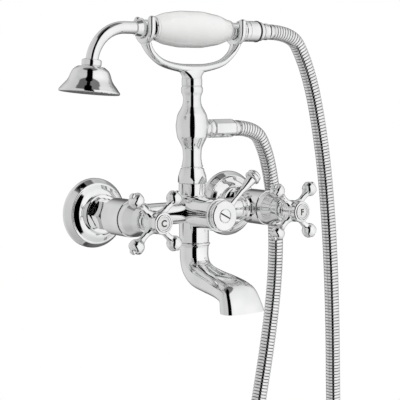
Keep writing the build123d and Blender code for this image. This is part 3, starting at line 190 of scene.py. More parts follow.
# the finish of each of the record's slots, then the slot that each finish belongs to
finishOfSlot = {
    "chrome": "polishedChrome",
    "raw_brass": "machinedBrass",
    "steel": "stainlessSteel",
    "hose_steel": "hoseChrome",
    "porcelain": "porcelain",
    "enamel": "indexEnamel",
    "spray_face": "sprayFace",
    "black_rubber": "blackRubber",
    "fibre": "fibreWasher",
    "alumina": "lappedCeramic",
}
slotOf = {finish: slot for slot, finish in finishOfSlot.items()}
# the hose's dark groove steel is painted shade, and the letters' ink also serves as painted shade
# in the lever screw's slot
slotOf.update({"nutChrome": "chrome", "hoseGroovePaintedShade": "hose_steel", "letterInkAndSlotShade": "black_rubber"})
for entry in frame["record"]["subparts"]:
    cadMesh = nodes[entry["node"]].data
    cadMesh.materials.clear()
    cadMesh.materials.append(materials[finishOfSlot[entry["material_slot"]]])
print("materials ready:", len(materials))


# Object and mesh helpers
def addObject(name, data):
    thing = bpy.data.objects.new(name, data)
    bpy.context.scene.collection.objects.link(thing)
    return thing


def meshOfCurve(name, curve):
    # the mesh that a curve gives; the curve's object goes again
    holder = addObject(name, curve)
    bpy.context.view_layer.update()
    evaluated = holder.evaluated_get(bpy.context.evaluated_depsgraph_get())
    mesh = bpy.data.meshes.new_from_object(evaluated)
    bpy.data.objects.remove(holder)
    return mesh


def newPiece(name, vertices, faces, finish, body, normals=None):
    mesh = bpy.data.meshes.new(name)
    mesh.from_pydata([tuple(vertex) for vertex in vertices], [], faces)
    mesh.polygons.foreach_set("use_smooth", [True]*len(mesh.polygons))
    mesh.materials.append(materials[finish])
    mesh.update()
    if normals is not None:
        mesh.normals_split_custom_set_from_vertices([tuple(normal) for normal in normals])
    piece = addObject(name, mesh)
    if body:
        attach(piece, body)
    return piece


# the least radius of an edge, the steps in degrees round such an edge and round softer ones,
# the share of a side that the rounding at one of its ends may take, and what counts as nothing
edges = {"leastRound": 0.04, "crispStep": 45.0, "softStep": 7.0, "room": 0.495, "nothing": 1e-6}


def softOutline(corners, closed):
    # rounds each corner (place, radius, round) with an arc and gives points with their normals
    count = len(corners)
    area = 0.0
    for here, after in zip(corners, corners[1:]+corners[:1]):
        area += here[0]*after[1]-after[0]*here[1]
    outward = -1.0 if area > 0 else 1.0
    points = []
    for index, (place, radius, rounding) in enumerate(corners):
        here = Vector((place, radius))
        first, last = index == 0, index == count-1
        before = None if first and not closed else Vector(corners[index-1][:2])
        after = None if last and not closed else Vector(corners[(index+1) % count][:2])
        if before is None or after is None:
            run = (after-here) if before is None else (here-before)
            run.normalize()
            points.append((here, Vector((-run.y, run.x))*outward))
            continue
        arriving, leaving = here-before, after-here
        room = edges["room"]*min(arriving.length, leaving.length)
        arriving.normalize()
        leaving.normalize()
        turn = arriving.angle_signed(leaving)
        reach = min(max(rounding, edges["leastRound"])*abs(math.tan(turn/2)), room)
        stepAngle = edges["softStep" if rounding > edges["leastRound"] else "crispStep"]
        steps = max(1, math.ceil(abs(math.degrees(turn))/stepAngle))
        bend = reach/abs(math.tan(turn/2)) if abs(turn) > edges["nothing"] else 0.0
        bend = bend if turn < 0 else -bend
        start = here-arriving*reach
        centre = start+Vector((-arriving.y, arriving.x))*bend
        for step in range(steps+1):
            angle = -turn*step/steps
            direction = Vector((arriving.x*math.cos(angle)-arriving.y*math.sin(angle),
                                arriving.x*math.sin(angle)+arriving.y*math.cos(angle)))
            normal = Vector((-direction.y, direction.x))
            point = centre-normal*bend
            points.append((point, normal*outward))
    return points


def orientFaces(vertices, normals, faces):
    # turns each face so that it looks the way of its normals
    oriented = []
    for face in faces:
        a, b, c = (vertices[index] for index in face[:3])
        facing = (b-a).cross(c-a)
        towards = sum((Vector(normals[index]) for index in face), Vector())
        oriented.append(tuple(face) if facing.dot(towards) >= 0 else tuple(reversed(face)))
    return oriented


def turnedShell(axis, corners, closed, segments):
    # spins an outline about an axis (origin, direction)
    origin, direction = Vector(axis[0]), Vector(axis[1]).normalized()
    side = direction.orthogonal().normalized()
    cross = direction.cross(side)
    outline = softOutline(corners, closed)
    vertices, normals, faces, rows = [], [], [], []
    for point, normal in outline:
        onAxis = point.y < edges["nothing"]
        row = []
        for segment in range(1 if onAxis else segments):
            angle = 2*math.pi*segment/segments
            around = side*math.cos(angle)+cross*math.sin(angle)
            row.append(len(vertices))
            vertices.append((origin+direction*point.x+around*point.y)*mm)
            normals.append(direction*(1 if normal.x > 0 else -1) if onAxis
                           else direction*normal.x+around*normal.y)
        rows.append(row)
    pairs = list(zip(rows, rows[1:]))
    if closed:
        pairs.append((rows[-1], rows[0]))
    for row, following in pairs:
        for segment in range(segments):
            ahead = (segment+1) % segments
            if len(row) == len(following) == 1:
                continue
            if len(row) == 1:
                faces.append((row[0], following[ahead], following[segment]))
            elif len(following) == 1:
                faces.append((row[segment], row[ahead], following[0]))
            else:
                faces.append((row[segment], row[ahead], following[ahead], following[segment]))
    return vertices, normals, orientFaces(vertices, normals, faces)


def turned(name, body, shells, replaced=(), finish="polishedChrome", segments=96):
    # shells: (axis, corners, closed); all of them make one piece
    vertices, normals, faces = [], [], []
    for axis, corners, closed in shells:
        start = len(vertices)
        shellVertices, shellNormals, shellFaces = turnedShell(axis, corners, closed, segments)
        vertices += shellVertices
        normals += shellNormals
        faces += [tuple(index+start for index in face) for face in shellFaces]
    piece = newPiece(name, vertices, faces, finish, body, normals)
    if replaced:
        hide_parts(*replaced)
    return piece


hotAxis = ((layout["hotX"], 0, 0), (0, -1, 0))
coldAxis = ((layout["coldX"], 0, 0), (0, -1, 0))
frontAxis = ((0, 0, 0), (0, -1, 0))
columnAxis = ((0, bodyY, 0), (0, 0, 1))
fallAxis = ((0, -layout["fallReach"], 0), (0, 0, 1))
crossbarAxis = ((0, bodyY, 0), (1, 0, 0))
outletAxis = ((0, bodyY, layout["outletHeight"]), (1, 0, 0))
handsetAxis = ((0, bodyY, layout["handsetHeight"]), (1, 0, 0))
leverTurn = math.radians(layout["leverAngle"])
leverAxis = ((0, -layout["leverReach"], 0), (math.cos(leverTurn), 0, math.sin(leverTurn)))
headTurn = math.radians(layout["headTilt"])
bendCentre = Vector((-layout["neckBendReach"], bodyY,
                     layout["handsetHeight"]-layout["neckBendRadius"]))
headPoint = bendCentre+layout["neckBendRadius"]*Vector((-math.cos(headTurn), 0, math.sin(headTurn)))
headDown = Vector((-math.sin(headTurn), 0, -math.cos(headTurn)))
headAxis = (tuple(headPoint), tuple(headDown))


def ringFaces(rowCount, width, start=0, capped=False):
    # faces between rows of points, each row a ring
    faces = []
    for near in range(start, start+(rowCount-1)*width, width):
        for step in range(width):
            ahead = (step+1) % width
            faces.append((near+step, near+ahead, near+width+ahead, near+width+step))
    if capped:
        last = start+(rowCount-1)*width
        faces += [tuple(reversed(range(start, start+width))), tuple(range(last, last+width))]
    return faces


def skin(name, body, shells, replaced=(), sharpRows=()):
    # shells: (rows, capped); all of them make one piece, and the first one's sharpRows stay crisp
    vertices, faces = [], []
    for rows, capped in shells:
        faces += ringFaces(len(rows), len(rows[0]), len(vertices), capped)
        vertices += [point*mm for row in rows for point in row]
    piece = newPiece(name, vertices, faces, "polishedChrome", body)
    if sharpRows:
        width = len(shells[0][0][0])
        for edge in piece.data.edges:
            first, second = (vertex // width for vertex in edge.vertices)
            edge.use_edge_sharp = first == second and first in sharpRows
    if replaced:
        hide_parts(*replaced)
    return piece


def glide(stations, steps):
    # a smooth run of values through the stations (Catmull-Rom)
    values = [np.array(station, float) for station in stations]
    ends = [2*values[0]-values[1]]+values+[2*values[-1]-values[-2]]
    run = []
    for before, here, after, later in zip(ends, ends[1:], ends[2:], ends[3:]):
        for step in range(steps):
            t = step/steps
            run.append(0.5*((2*here)+(after-before)*t+(2*before-5*here+4*after-later)*t**2
                            + (3*here-before-3*after+later)*t**3))
    run.append(values[-1])
    return run


def ringAbout(centre, ahead, depth, thickness, around, steady):
    # a ring square to the way ahead; its first point lies towards the steady direction
    side = (steady-ahead*steady.dot(ahead)).normalized()
    up = ahead.cross(side)
    angles = (2*math.pi*step/around for step in range(around))
    return [centre+side*depth*math.cos(angle)+up*thickness*math.sin(angle) for angle in angles]


def sweptTube(path, radii, around, steady=(0, 1, 0)):
    # rings of a tube along points; a radius may be two, along the steady direction and across
    rows = []
    for index, (point, radius) in enumerate(zip(path, radii)):
        ahead = path[min(index+1, len(path)-1)]-path[max(index-1, 0)]
        depth, thickness = radius if isinstance(radius, tuple) else (radius, radius)
        rows.append(ringAbout(point, ahead.normalized(), depth, thickness, around, Vector(steady)))
    return rows


# Wall side: flanges and connectors
# outlines are corners (place along the axis, radius, rounding)
wallFlange = {
    "corners": [(0, 28.6, 0.2), (0, 29.9, 0.5), (1.6, 30.9, 2.0), (5.0, 30.9, 4.5),
                (10.3, 26.7, 2.4), (10.2, 25.3, 0.9), (12.9, 21.0, 14.0), (13.6, 17.8, 0.3),
                (13.8, 17.1, 0.3), (14.4, 17.8, 0.4), (18.5, 17.6, 0.6), (19.2, 16.4, 0.4),
                (19.2, 10.9, 0.4), (12.0, 10.9, 0.4), (12.0, 16.8, 1.0), (9.6, 22.4, 6.0),
                (7.4, 26.4, 1.5), (4.4, 28.6, 2.0)],
}
union = {
    "bore": 7.0,
    "crest": 10.48,
    "root": 9.5,
    "pitch": 1.814,
    "turns": 8,
    "end": -16.0,
    "lead": 0.6,
    # along one turn of the thread: share of the pitch, and what it reaches
    "thread": [(0.25, "crest"), (0.45, "crest"), (0.9, "root")],
    "neck": [(0, 7.0, 0.2), (0, 13.0, 0.4), (6.0, 13.0, 0.4), (6.0, 10.48, 0.2), (26.0, 10.48, 0.4),
             (26.0, 7.0, 0.3)],
}


def threadCorners():
    corners = [(union["end"], union["bore"], 0.3), (union["end"], union["root"], 0.3)]
    for turn in range(union["turns"]):
        start = union["end"]+union["lead"]+turn*union["pitch"]
        for share, level in union["thread"]:
            corners.append((start+share*union["pitch"], union[level], 0.2))
    return corners+[(0, union["root"], 0.2), (0, union["bore"], 0.2)]


for side, axis in (("hot", hotAxis), ("cold", coldAxis)):
    turned(side+"FlangeSkin", "mixer", [(axis, wallFlange["corners"], True)],
           [side+"_wall_flange"], segments=128)
    turned(side+"UnionThread", "mixer", [(axis, threadCorners(), True)],
           [side+"_union_connector"], "machinedBrass", segments=72)
    turned(side+"UnionNeck", "mixer", [(axis, union["neck"], True)], finish="nutChrome")
print("wall side made")

# Body casting
casting = {
    "barrel": [(34.6, 0, 0), (34.6, 8.4, 0.2), (38.4, 8.4, 1.2), (38.2, 11.0, 1.0),
               (38.0, 16.0, 4.6), (64.4, 16.0, 0.7), (65.0, 15.2, 0.2), (65.0, 0, 0)],
    "tail": [(28.0, 7.0, 0.1), (28.0, 10.1, 0.3), (31.0, 10.1, 0.3), (31.0, 8.4, 0.2),
             (36.0, 8.4, 0.1), (36.0, 7.0, 0.1)],
    "crossbar": [(50.4, 9.8, 0.5), (51.0, 10.6, 0.4), (52.6, 10.6, 0.4), (53.0, 9.8, 0.4),
                 (54.2, 9.8, 0.5), (55.0, 11.4, 0.7), (57.4, 11.6, 0.7), (58.0, 10.6, 0.5),
                 (60.5, 12.4, 1.5), (64.0, 12.8, 0.2), (64.0, 0, 0)],
    "chamber": [(34.5, 0, 0), (34.5, 14.2, 5.5), (86.6, 14.2, 0.4), (87.0, 13.7, 0.2),
                (87.0, 0, 0)],
    "topNeck": [(0, 0, 0), (0, 12.0, 0), (12.0, 12.0, 1.2), (13.6, 14.0, 0.9), (15.2, 12.2, 1.2),
                (25.6, 12.0, 0.3), (25.6, 10.3, 0.1), (30.8, 10.3, 0.2), (30.8, 6.0, 0.1),
                (26, 6.0, 0.1), (26, 0, 0)],
    "lowerNeck": [(0, 0, 0), (0, 13.3, 0), (-26.4, 13.3, 0.4), (-27.0, 12.8, 0.2),
                  (-27.0, 9.5, 0.1), (-36.0, 9.5, 0.3), (-36.0, 6.5, 0.1), (-28, 6.5, 0.1),
                  (-28, 0, 0)],
}


def bothWays(corners):
    # the whole outline of a form that is alike on both sides
    return [(-place, radius, rounding) for place, radius, rounding in reversed(corners)]+corners


turned("bodyShell", "mixer", [
    (hotAxis, casting["barrel"], False), (coldAxis, casting["barrel"], False),
    (hotAxis, casting["tail"], True), (coldAxis, casting["tail"], True),
    (crossbarAxis, bothWays(casting["crossbar"]), False),
    (frontAxis, casting["chamber"], False), (columnAxis, casting["topNeck"], False),
    (fallAxis, casting["lowerNeck"], False)], ["body_casting"], segments=128)
print("body made")

# Shrouds and cross handles
shroud = {
    "corners": [(65.1, 12.9, 0.1), (65.1, 14.6, 0.3), (65.6, 15.3, 0.4), (71.0, 15.0, 6.0),
                (79.0, 11.4, 9.0), (85.2, 10.2, 1.0), (86.0, 9.6, 0.5), (86.0, 6.6, 0.2),
                (84.0, 6.6, 0.2), (84.0, 8.6, 1.0), (70.0, 12.9, 2.0)],
}
crossHandle = {
    "hub": [(86.4, 4.2, 0.1), (86.4, 8.2, 0.3), (88.6, 8.7, 0.8), (89.9, 8.5, 0.6),
            (90.5, 7.5, 0.5), (92.6, 7.5, 0.5), (93.4, 8.8, 0.6), (95.0, 9.4, 2.5),
            (102.5, 9.5, 3.0), (104.4, 8.6, 0.6), (105.6, 8.4, 0.6), (106.4, 9.3, 0.7),
            (110.2, 9.3, 0.7), (111.0, 8.5, 0.6), (111.1, 7.3, 0.2), (108.2, 7.2, 0.1),
            (108.2, 4.2, 0.1)],
    "arm": [(5.5, 0, 0), (5.5, 5.2, 0), (8.6, 4.6, 3.0), (12.6, 2.8, 3.0), (17.2, 2.7, 3.0),
            (19.4, 3.0, 1.0), (20.8, 3.4, 0.5), (23.91, 6.5, 40), (29.29, 6.5, 40),
            (30.8, 4.98, 0.4), (31.1, 3.6, 0.3), (31.5, 2.7, 0.3), (32.9, 2.7, 1.2),
            (33.7, 1.9, 1.0), (33.9, 0, 0)],
}
indexCap = {
    "rim": [(107.9, 5.6, 0.1), (107.9, 6.9, 0.1), (111.2, 6.9, 0.3), (111.5, 6.5, 0.3),
            (111.4, 5.8, 0.2), (110.7, 5.6, 0.1)],
    "disc": [(108.2, 0, 0), (108.2, 5.55, 0), (110.7, 5.55, 0.15), (110.95, 5.0, 0.3),
             (110.95, 4.3, 0.2), (110.7, 4.2, 0.1), (110.7, 4.0, 0.1), (110.95, 3.9, 0.2),
             (111.0, 0, 0)],
}
handleBody = {"hot": "hot_handle", "cold": "cold_handle"}
armTurns = (45, 135, 225, 315)

for side, axis in (("hot", hotAxis), ("cold", coldAxis)):
    turned(side+"ShroudSkin", "mixer", [(axis, shroud["corners"], True)],
           [side+"_bonnet_shroud"], segments=128)
    centre = (axis[0][0], -layout["armReach"], 0)
    shells = [(axis, crossHandle["hub"], True)]
    for angle in map(math.radians, armTurns):
        shells.append(((centre, (math.cos(angle), 0, math.sin(angle))), crossHandle["arm"], False))
    turned(side+"CrossGrip", handleBody[side], shells, [side+"_cross_handle"], segments=80)
    turned(side+"IndexRim", handleBody[side], [(axis, indexCap["rim"], True)],
           [side+"_index_cap"])
    turned(side+"IndexDisc", handleBody[side], [(axis, indexCap["disc"], False)],
           finish="indexEnamel")

indexLetter = {"fontSize": 7.668, "front": 111.0, "rise": 0.16, "weight": 0.21}


def letterOn(side, letter):
    # the plain mark of hot or cold, standing a little proud of the disc
    curve = bpy.data.curves.new(side+"IndexLetter", "FONT")
    curve.body = letter
    curve.size = indexLetter["fontSize"]*mm
    curve.align_x = "CENTER"
    curve.align_y = "CENTER"
    curve.extrude = indexLetter["rise"]*mm
    curve.offset = indexLetter["weight"]*mm
    solid = meshOfCurve(side+"LetterCurve", curve)
    xs = [vertex.co.x for vertex in solid.vertices]
    ys = [vertex.co.y for vertex in solid.vertices]
    middle = Vector(((min(xs)+max(xs))/2, (min(ys)+max(ys))/2, 0))
    place = Vector((layout[side+"X"], -indexLetter["front"], 0))*mm
    solid.transform(Matrix.Translation(place) @ Matrix.Rotation(math.radians(90), 4, "X")
                    @ Matrix.Translation(-middle))
    solid.materials.clear()
    solid.materials.append(materials["letterInkAndSlotShade"])
    piece = addObject(side+"IndexLetter", solid)
    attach(piece, handleBody[side])


letterOn("hot", "C")
letterOn("cold", "F")
print("handles made")

# Diverter: painted shade in the slot of the lever's screw, gland, lever hub, rod and knob
diverter = {
    "gland": [(87.0, 4.8, 0.1), (87.0, 13.2, 0.1), (87.3, 14.6, 0.3), (88.4, 14.6, 0.5),
              (88.7, 13.8, 0.2), (88.7, 4.8, 0.1)],
    "hub": [(89.0, 0, 0), (89.0, 12.4, 0.2), (90.2, 12.4, 0.2), (90.4, 13.4, 0.3),
            (91.6, 13.4, 0.4), (92.0, 12.5, 0.3), (92.9, 12.5, 0.3), (93.3, 13.3, 0.4),
            (95.2, 13.1, 0.8), (95.9, 12.2, 0.5), (95.9, 6.2, 0.1), (94.6, 6.0, 0.1), (94.6, 0, 0)],
    "rod": [(9.5, 0, 0), (9.5, 2.9, 0), (13.2, 2.9, 1.5), (21.5, 2.1, 13.0), (30.0, 2.4, 14.0),
            (39.6, 4.2, 8.0), (43.8, 4.8, 0.4), (44.0, 4.2, 0.1), (44.0, 0, 0)],
    "knob": [(44.0, 0, 0), (44.0, 5.3, 0.1), (44.5, 6.7, 0.5), (45.6, 7.0, 0.8), (46.6, 6.6, 0.4),
             (46.9, 5.8, 0.3), (47.4, 5.8, 0.3), (48.1, 6.5, 0.6), (49.6, 6.1, 1.4),
             (51.2, 4.4, 1.6), (52.1, 2.0, 1.6), (52.2, 0, 0)],
}
# painted shade in the screw's slot: a thin dark box across its head, at the depth of the slot's
# floor
slotShadeBox = {"reach": (95.92, 96.25), "halfLength": 5.2, "halfWidth": 0.55, "angle": -28.0}
slotTurn = math.radians(slotShadeBox["angle"])
slotAlong = Vector((math.cos(slotTurn), 0, math.sin(slotTurn)))*slotShadeBox["halfLength"]
slotAcross = Vector((-math.sin(slotTurn), 0, math.cos(slotTurn)))*slotShadeBox["halfWidth"]
slotCorners = [(Vector((0, -reach, 0))+slotAlong*along+slotAcross*across)*mm
               for reach in slotShadeBox["reach"]
               for along, across in ((-1, -1), (1, -1), (1, 1), (-1, 1))]
slotFaces = [(0, 1, 2, 3), (7, 6, 5, 4), (1, 0, 4, 5), (2, 1, 5, 6), (3, 2, 6, 7), (0, 3, 7, 4)]
newPiece("screwSlotShade", slotCorners, slotFaces, "letterInkAndSlotShade", "diverter")
turned("glandSkin", "mixer", [(frontAxis, diverter["gland"], True)],
       ["diverter_gland"], segments=128)
turned("leverHubSkin", "diverter", [(frontAxis, diverter["hub"], False)],
       ["lever_hub"], segments=128)
turned("leverRodSkin", "diverter", [(leverAxis, diverter["rod"], False)],
       ["lever_rod"], segments=64)
turned("leverKnobSkin", "diverter", [(leverAxis, diverter["knob"], False)],
       ["lever_knob"], segments=80)
print("diverter made")

# Spout
spout = {
    # y and z of the middle, lean of the section, half width, half thickness, squareness
    "stations": [(-50.5, -31.0, 0, 12.9, 12.9, 2.0), (-50.5, -36.0, 0, 12.7, 12.7, 2.0),
                 (-51.0, -42.0, 8, 12.7, 12.7, 2.05), (-54.2, -49.4, 34, 13.0, 12.3, 2.15),
                 (-62.8, -55.6, 62, 13.5, 11.6, 2.3), (-77.0, -58.8, 77, 14.6, 10.6, 2.4),
                 (-92.0, -60.9, 77, 16.4, 10.1, 2.45), (-104.0, -63.2, 71, 17.8, 9.8, 2.5),
                 (-113.0, -66.3, 62, 18.8, 9.8, 2.45)],
    "mouth": (-119.6, -80.2, 0, 21.4, 9.8, 2.6),
    "wall": 2.4,
    "around": 96,
    "stepsBetween": 8,
    # the rounded edge above the mouth: steps taken back, share of the lip, and its own steps
    "edgeBack": 3,
    "edgeAhead": 0.24,
    "edgeSteps": 10,
    # the rows down the lip, as shares of it
    "lipRows": (0.45, 0.7, 0.97, 1.0),
    "collar": [(-27.0, 9.8, 0.1), (-27.0, 13.6, 0.1), (-27.4, 14.3, 0.4), (-28.6, 14.35, 0.5),
               (-29.2, 13.5, 0.4), (-31.0, 13.0, 0.1), (-31.0, 9.8, 0.1)],
}


def spoutRing(station, shrink=0.0):
    y, z, lean, halfWidth, halfThick, squareness = station
    lean, power = math.radians(lean), 2/squareness
    up = Vector((0, -math.cos(lean), math.sin(lean)))
    ring = []
    for step in range(spout["around"]):
        angle = 2*math.pi*step/spout["around"]
        across, rise = math.cos(angle), math.sin(angle)
        reachX = (halfWidth-shrink)*math.copysign(abs(across)**power, across)
        reachUp = (halfThick-shrink)*math.copysign(abs(rise)**power, rise)
        ring.append(Vector((0, y, z))+Vector((1, 0, 0))*reachX+up*reachUp)
    return ring


def spoutRows():
    # down the outside, round the mouth's edge, back up the inside and shut on the first row
    run = glide(spout["stations"], spout["stepsBetween"])
    lip = np.array(spout["mouth"], float)-run[-1]
    start, corner, end = run[-1-spout["edgeBack"]], run[-1], run[-1]+lip*spout["edgeAhead"]
    run = run[:-spout["edgeBack"]]
    for step in range(1, spout["edgeSteps"]+1):
        t = step/spout["edgeSteps"]
        run.append(start*(1-t)**2+corner*2*t*(1-t)+end*t**2)
    run += [corner+lip*share for share in spout["lipRows"]]
    outside = [spoutRing(station) for station in run]
    inside = [spoutRing(station, spout["wall"]) for station in reversed(run)]
    return outside+inside+[outside[0]]


spoutSkinRows = spoutRows()
spoutMouthRow = len(spoutSkinRows)//2-1
spoutCrisp = (0, spoutMouthRow, spoutMouthRow+1, len(spoutSkinRows)-2, len(spoutSkinRows)-1)
skin("spoutSkin", "mixer", [(spoutSkinRows, False)], ["spout"], spoutCrisp)
turned("spoutCollarSkin", "mixer", [(fallAxis, spout["collar"], True)],
       ["spout_collar"], segments=128)
print("spout made")

# Riser column and hose outlet
column = {
    "stem": [(33.0, 0, 0), (33.0, 9.3, 0), (39.4, 9.3, 0.6), (40.4, 9.8, 0.5), (41.4, 9.2, 0.5),
             (47.5, 8.1, 9.0), (56.5, 8.4, 14.0), (66.5, 13.3, 9.0), (76.0, 14.6, 12.0),
             (86.0, 13.2, 11.0), (95.6, 7.9, 13.0), (102.4, 7.9, 9.0), (106.2, 9.5, 3.5),
             (109.6, 9.7, 1.8), (111.0, 9.0, 0.5), (111.5, 8.4, 0.2), (111.5, 0, 0)],
    "boss": [(0, 0, 0), (0, 7.9, 0), (12.6, 7.6, 0), (15.6, 6.9, 3.0), (16.6, 6.9, 0.2),
             (16.6, 0, 0)],
    "outlet": [(16.6, 3.6, 0.1), (16.6, 7.2, 0.1), (17.2, 8.2, 0.5), (20.6, 8.2, 0.6),
               (21.4, 7.4, 0.3), (21.4, 6.2, 0.1), (31.4, 6.2, 0.3), (31.4, 3.6, 0.1)],
}
turned("columnSkin", "mixer", [
    (columnAxis, column["stem"], False), (outletAxis, column["boss"], False)],
    ["column"], segments=128)
turned("outletSkin", "mixer", [(outletAxis, column["outlet"], True)],
       ["hose_outlet"])
print("column made")

# Cradle: stem, flared web, bow and two hooks
cradle = {
    "stem": [(111.5, 0, 0), (111.5, 8.4, 0.1), (112.0, 9.05, 0.5), (117.6, 9.05, 0.9),
             (118.2, 8.6, 0.4), (118.2, 0, 0)],
    "webFoot": 118.0,
    "webTop": 127.5,
    "webFootRadius": 8.9,
    "webHalf": (17.5, 6.3),
    "webSteps": 12,
    "webAround": 64,
    "bowSteps": 8,
    "bowAround": 40,
    # x, height, half depth and half thickness from the middle to the right end
    "bow": [(0.0, 126.5, 6.8, 4.3), (17.0, 128.0, 5.6, 3.5), (33.0, 132.2, 4.8, 3.2),
            (44.0, 140.4, 5.0, 3.1), (49.3, 149.0, 6.8, 3.2)],
    "hookX": (-50.0, 48.8),
    "hookGauge": 10.7,
    "hookTop": 167.8,
    "barRadius": 3.25,
    "tipRadius": 0.02,
    "hookSteps": 24,
    "hookAround": 32,
    # degrees of the rings on the half ball at each end of a hook
    "ballSteps": range(90, 9, -10),
}


def webRows():
    # the web widens from the stem's round foot to a flat oval under the bow
    foot, (halfWidth, halfDepth) = cradle["webFootRadius"], cradle["webHalf"]
    around, rows = cradle["webAround"], []
    for step in range(cradle["webSteps"]+1):
        t = step/cradle["webSteps"]
        # the width grows slowly at first, the depth fast
        halfX = foot+(halfWidth-foot)*t*t*(1.5-0.5*t)
        halfY = foot+(halfDepth-foot)*math.sqrt(t)
        z = cradle["webFoot"]+(cradle["webTop"]-cradle["webFoot"])*t
        rows.append([Vector((halfX*math.cos(angle), bodyY+halfY*math.sin(angle), z))
                     for angle in (2*math.pi*k/around for k in range(around))])
    return rows


def bowRows():
    right = cradle["bow"]
    left = [(-x, z, depth, thick) for x, z, depth, thick in reversed(right[1:])]
    run = glide(left+right, cradle["bowSteps"])
    path = [Vector((x, bodyY, z)) for x, z, depth, thick in run]
    radii = [(depth, thick) for x, z, depth, thick in run]
    return sweptTube(path, radii, cradle["bowAround"])


def hookRows(x):
    # a round bar bent to a U about the handset, with a half ball on each end
    gauge, top, radius = cradle["hookGauge"], cradle["hookTop"], cradle["barRadius"]
    middle, tip = layout["handsetHeight"], cradle["tipRadius"]
    front, back = Vector((x, bodyY-gauge, top)), Vector((x, bodyY+gauge, top))
    bar = [Vector((x, bodyY-gauge, middle))]
    for step in range(1, cradle["hookSteps"]):
        angle = math.pi+math.pi*step/cradle["hookSteps"]
        bar.append(Vector((x, bodyY+gauge*math.cos(angle), middle+gauge*math.sin(angle))))
    bar.append(Vector((x, bodyY+gauge, middle)))
    ball = [(Vector((0, 0, radius*math.sin(angle))), max(tip, radius*math.cos(angle)))
            for angle in map(math.radians, cradle["ballSteps"])]
    path = [front+rise for rise, size in ball]+bar+[back+rise for rise, size in reversed(ball)]
    sizes = [size for rise, size in ball]
    radii = sizes+[radius]*len(bar)+sizes[::-1]
    return sweptTube(path, radii, cradle["hookAround"], (1, 0, 0))


turned("cradleStemSkin", "mixer", [(columnAxis, cradle["stem"], False)])
skin("cradleSkin", "mixer",
     [(rows, True) for rows in (webRows(), bowRows(), *map(hookRows, cradle["hookX"]))], ["cradle"])
print("cradle made")

# Nut of the hose at the column's outlet
outletNut = {
    # place along the outlet and share of the full size
    "stations": [(21.9, 0.84), (22.1, 0.93), (22.7, 0.99), (23.0, 1.0), (43.6, 1.0), (44.2, 0.98),
                 (45.2, 0.94), (45.5, 0.88), (45.5, 0.62), (40.0, 0.62), (40.0, 0.8), (21.9, 0.8),
                 (21.9, 0.84)],
    "crisp": (3, 4, 8, 9, 10, 11),
    # half the width over the flats, rounding of the corners, and degrees of the points round them
    "half": 7.55,
    "rounding": 2.6,
    "roundSteps": (-30, -29, -15, 0, 15, 29, 30),
}


def hexRow(x, share):
    # a hexagon with soft corners about the outlet's axis, one flat to the front
    half, rounding = outletNut["half"]*share, outletNut["rounding"]*share
    middle = (half-rounding)/math.cos(math.radians(30))
    ring = []
    for toCorner in (math.radians(60*corner+30) for corner in range(6)):
        for angle in (toCorner+math.radians(offset) for offset in outletNut["roundSteps"]):
            out = middle*math.cos(toCorner)+rounding*math.cos(angle)
            rise = middle*math.sin(toCorner)+rounding*math.sin(angle)
            ring.append(Vector((x, bodyY-out, layout["outletHeight"]+rise)))
    return ring


nutRows = [hexRow(x, share) for x, share in outletNut["stations"]]
nutSkin = skin("outletNutSkin", "mixer", [(nutRows, False)], ["outlet_hose_nut"],
               outletNut["crisp"])
print("outlet nut made")

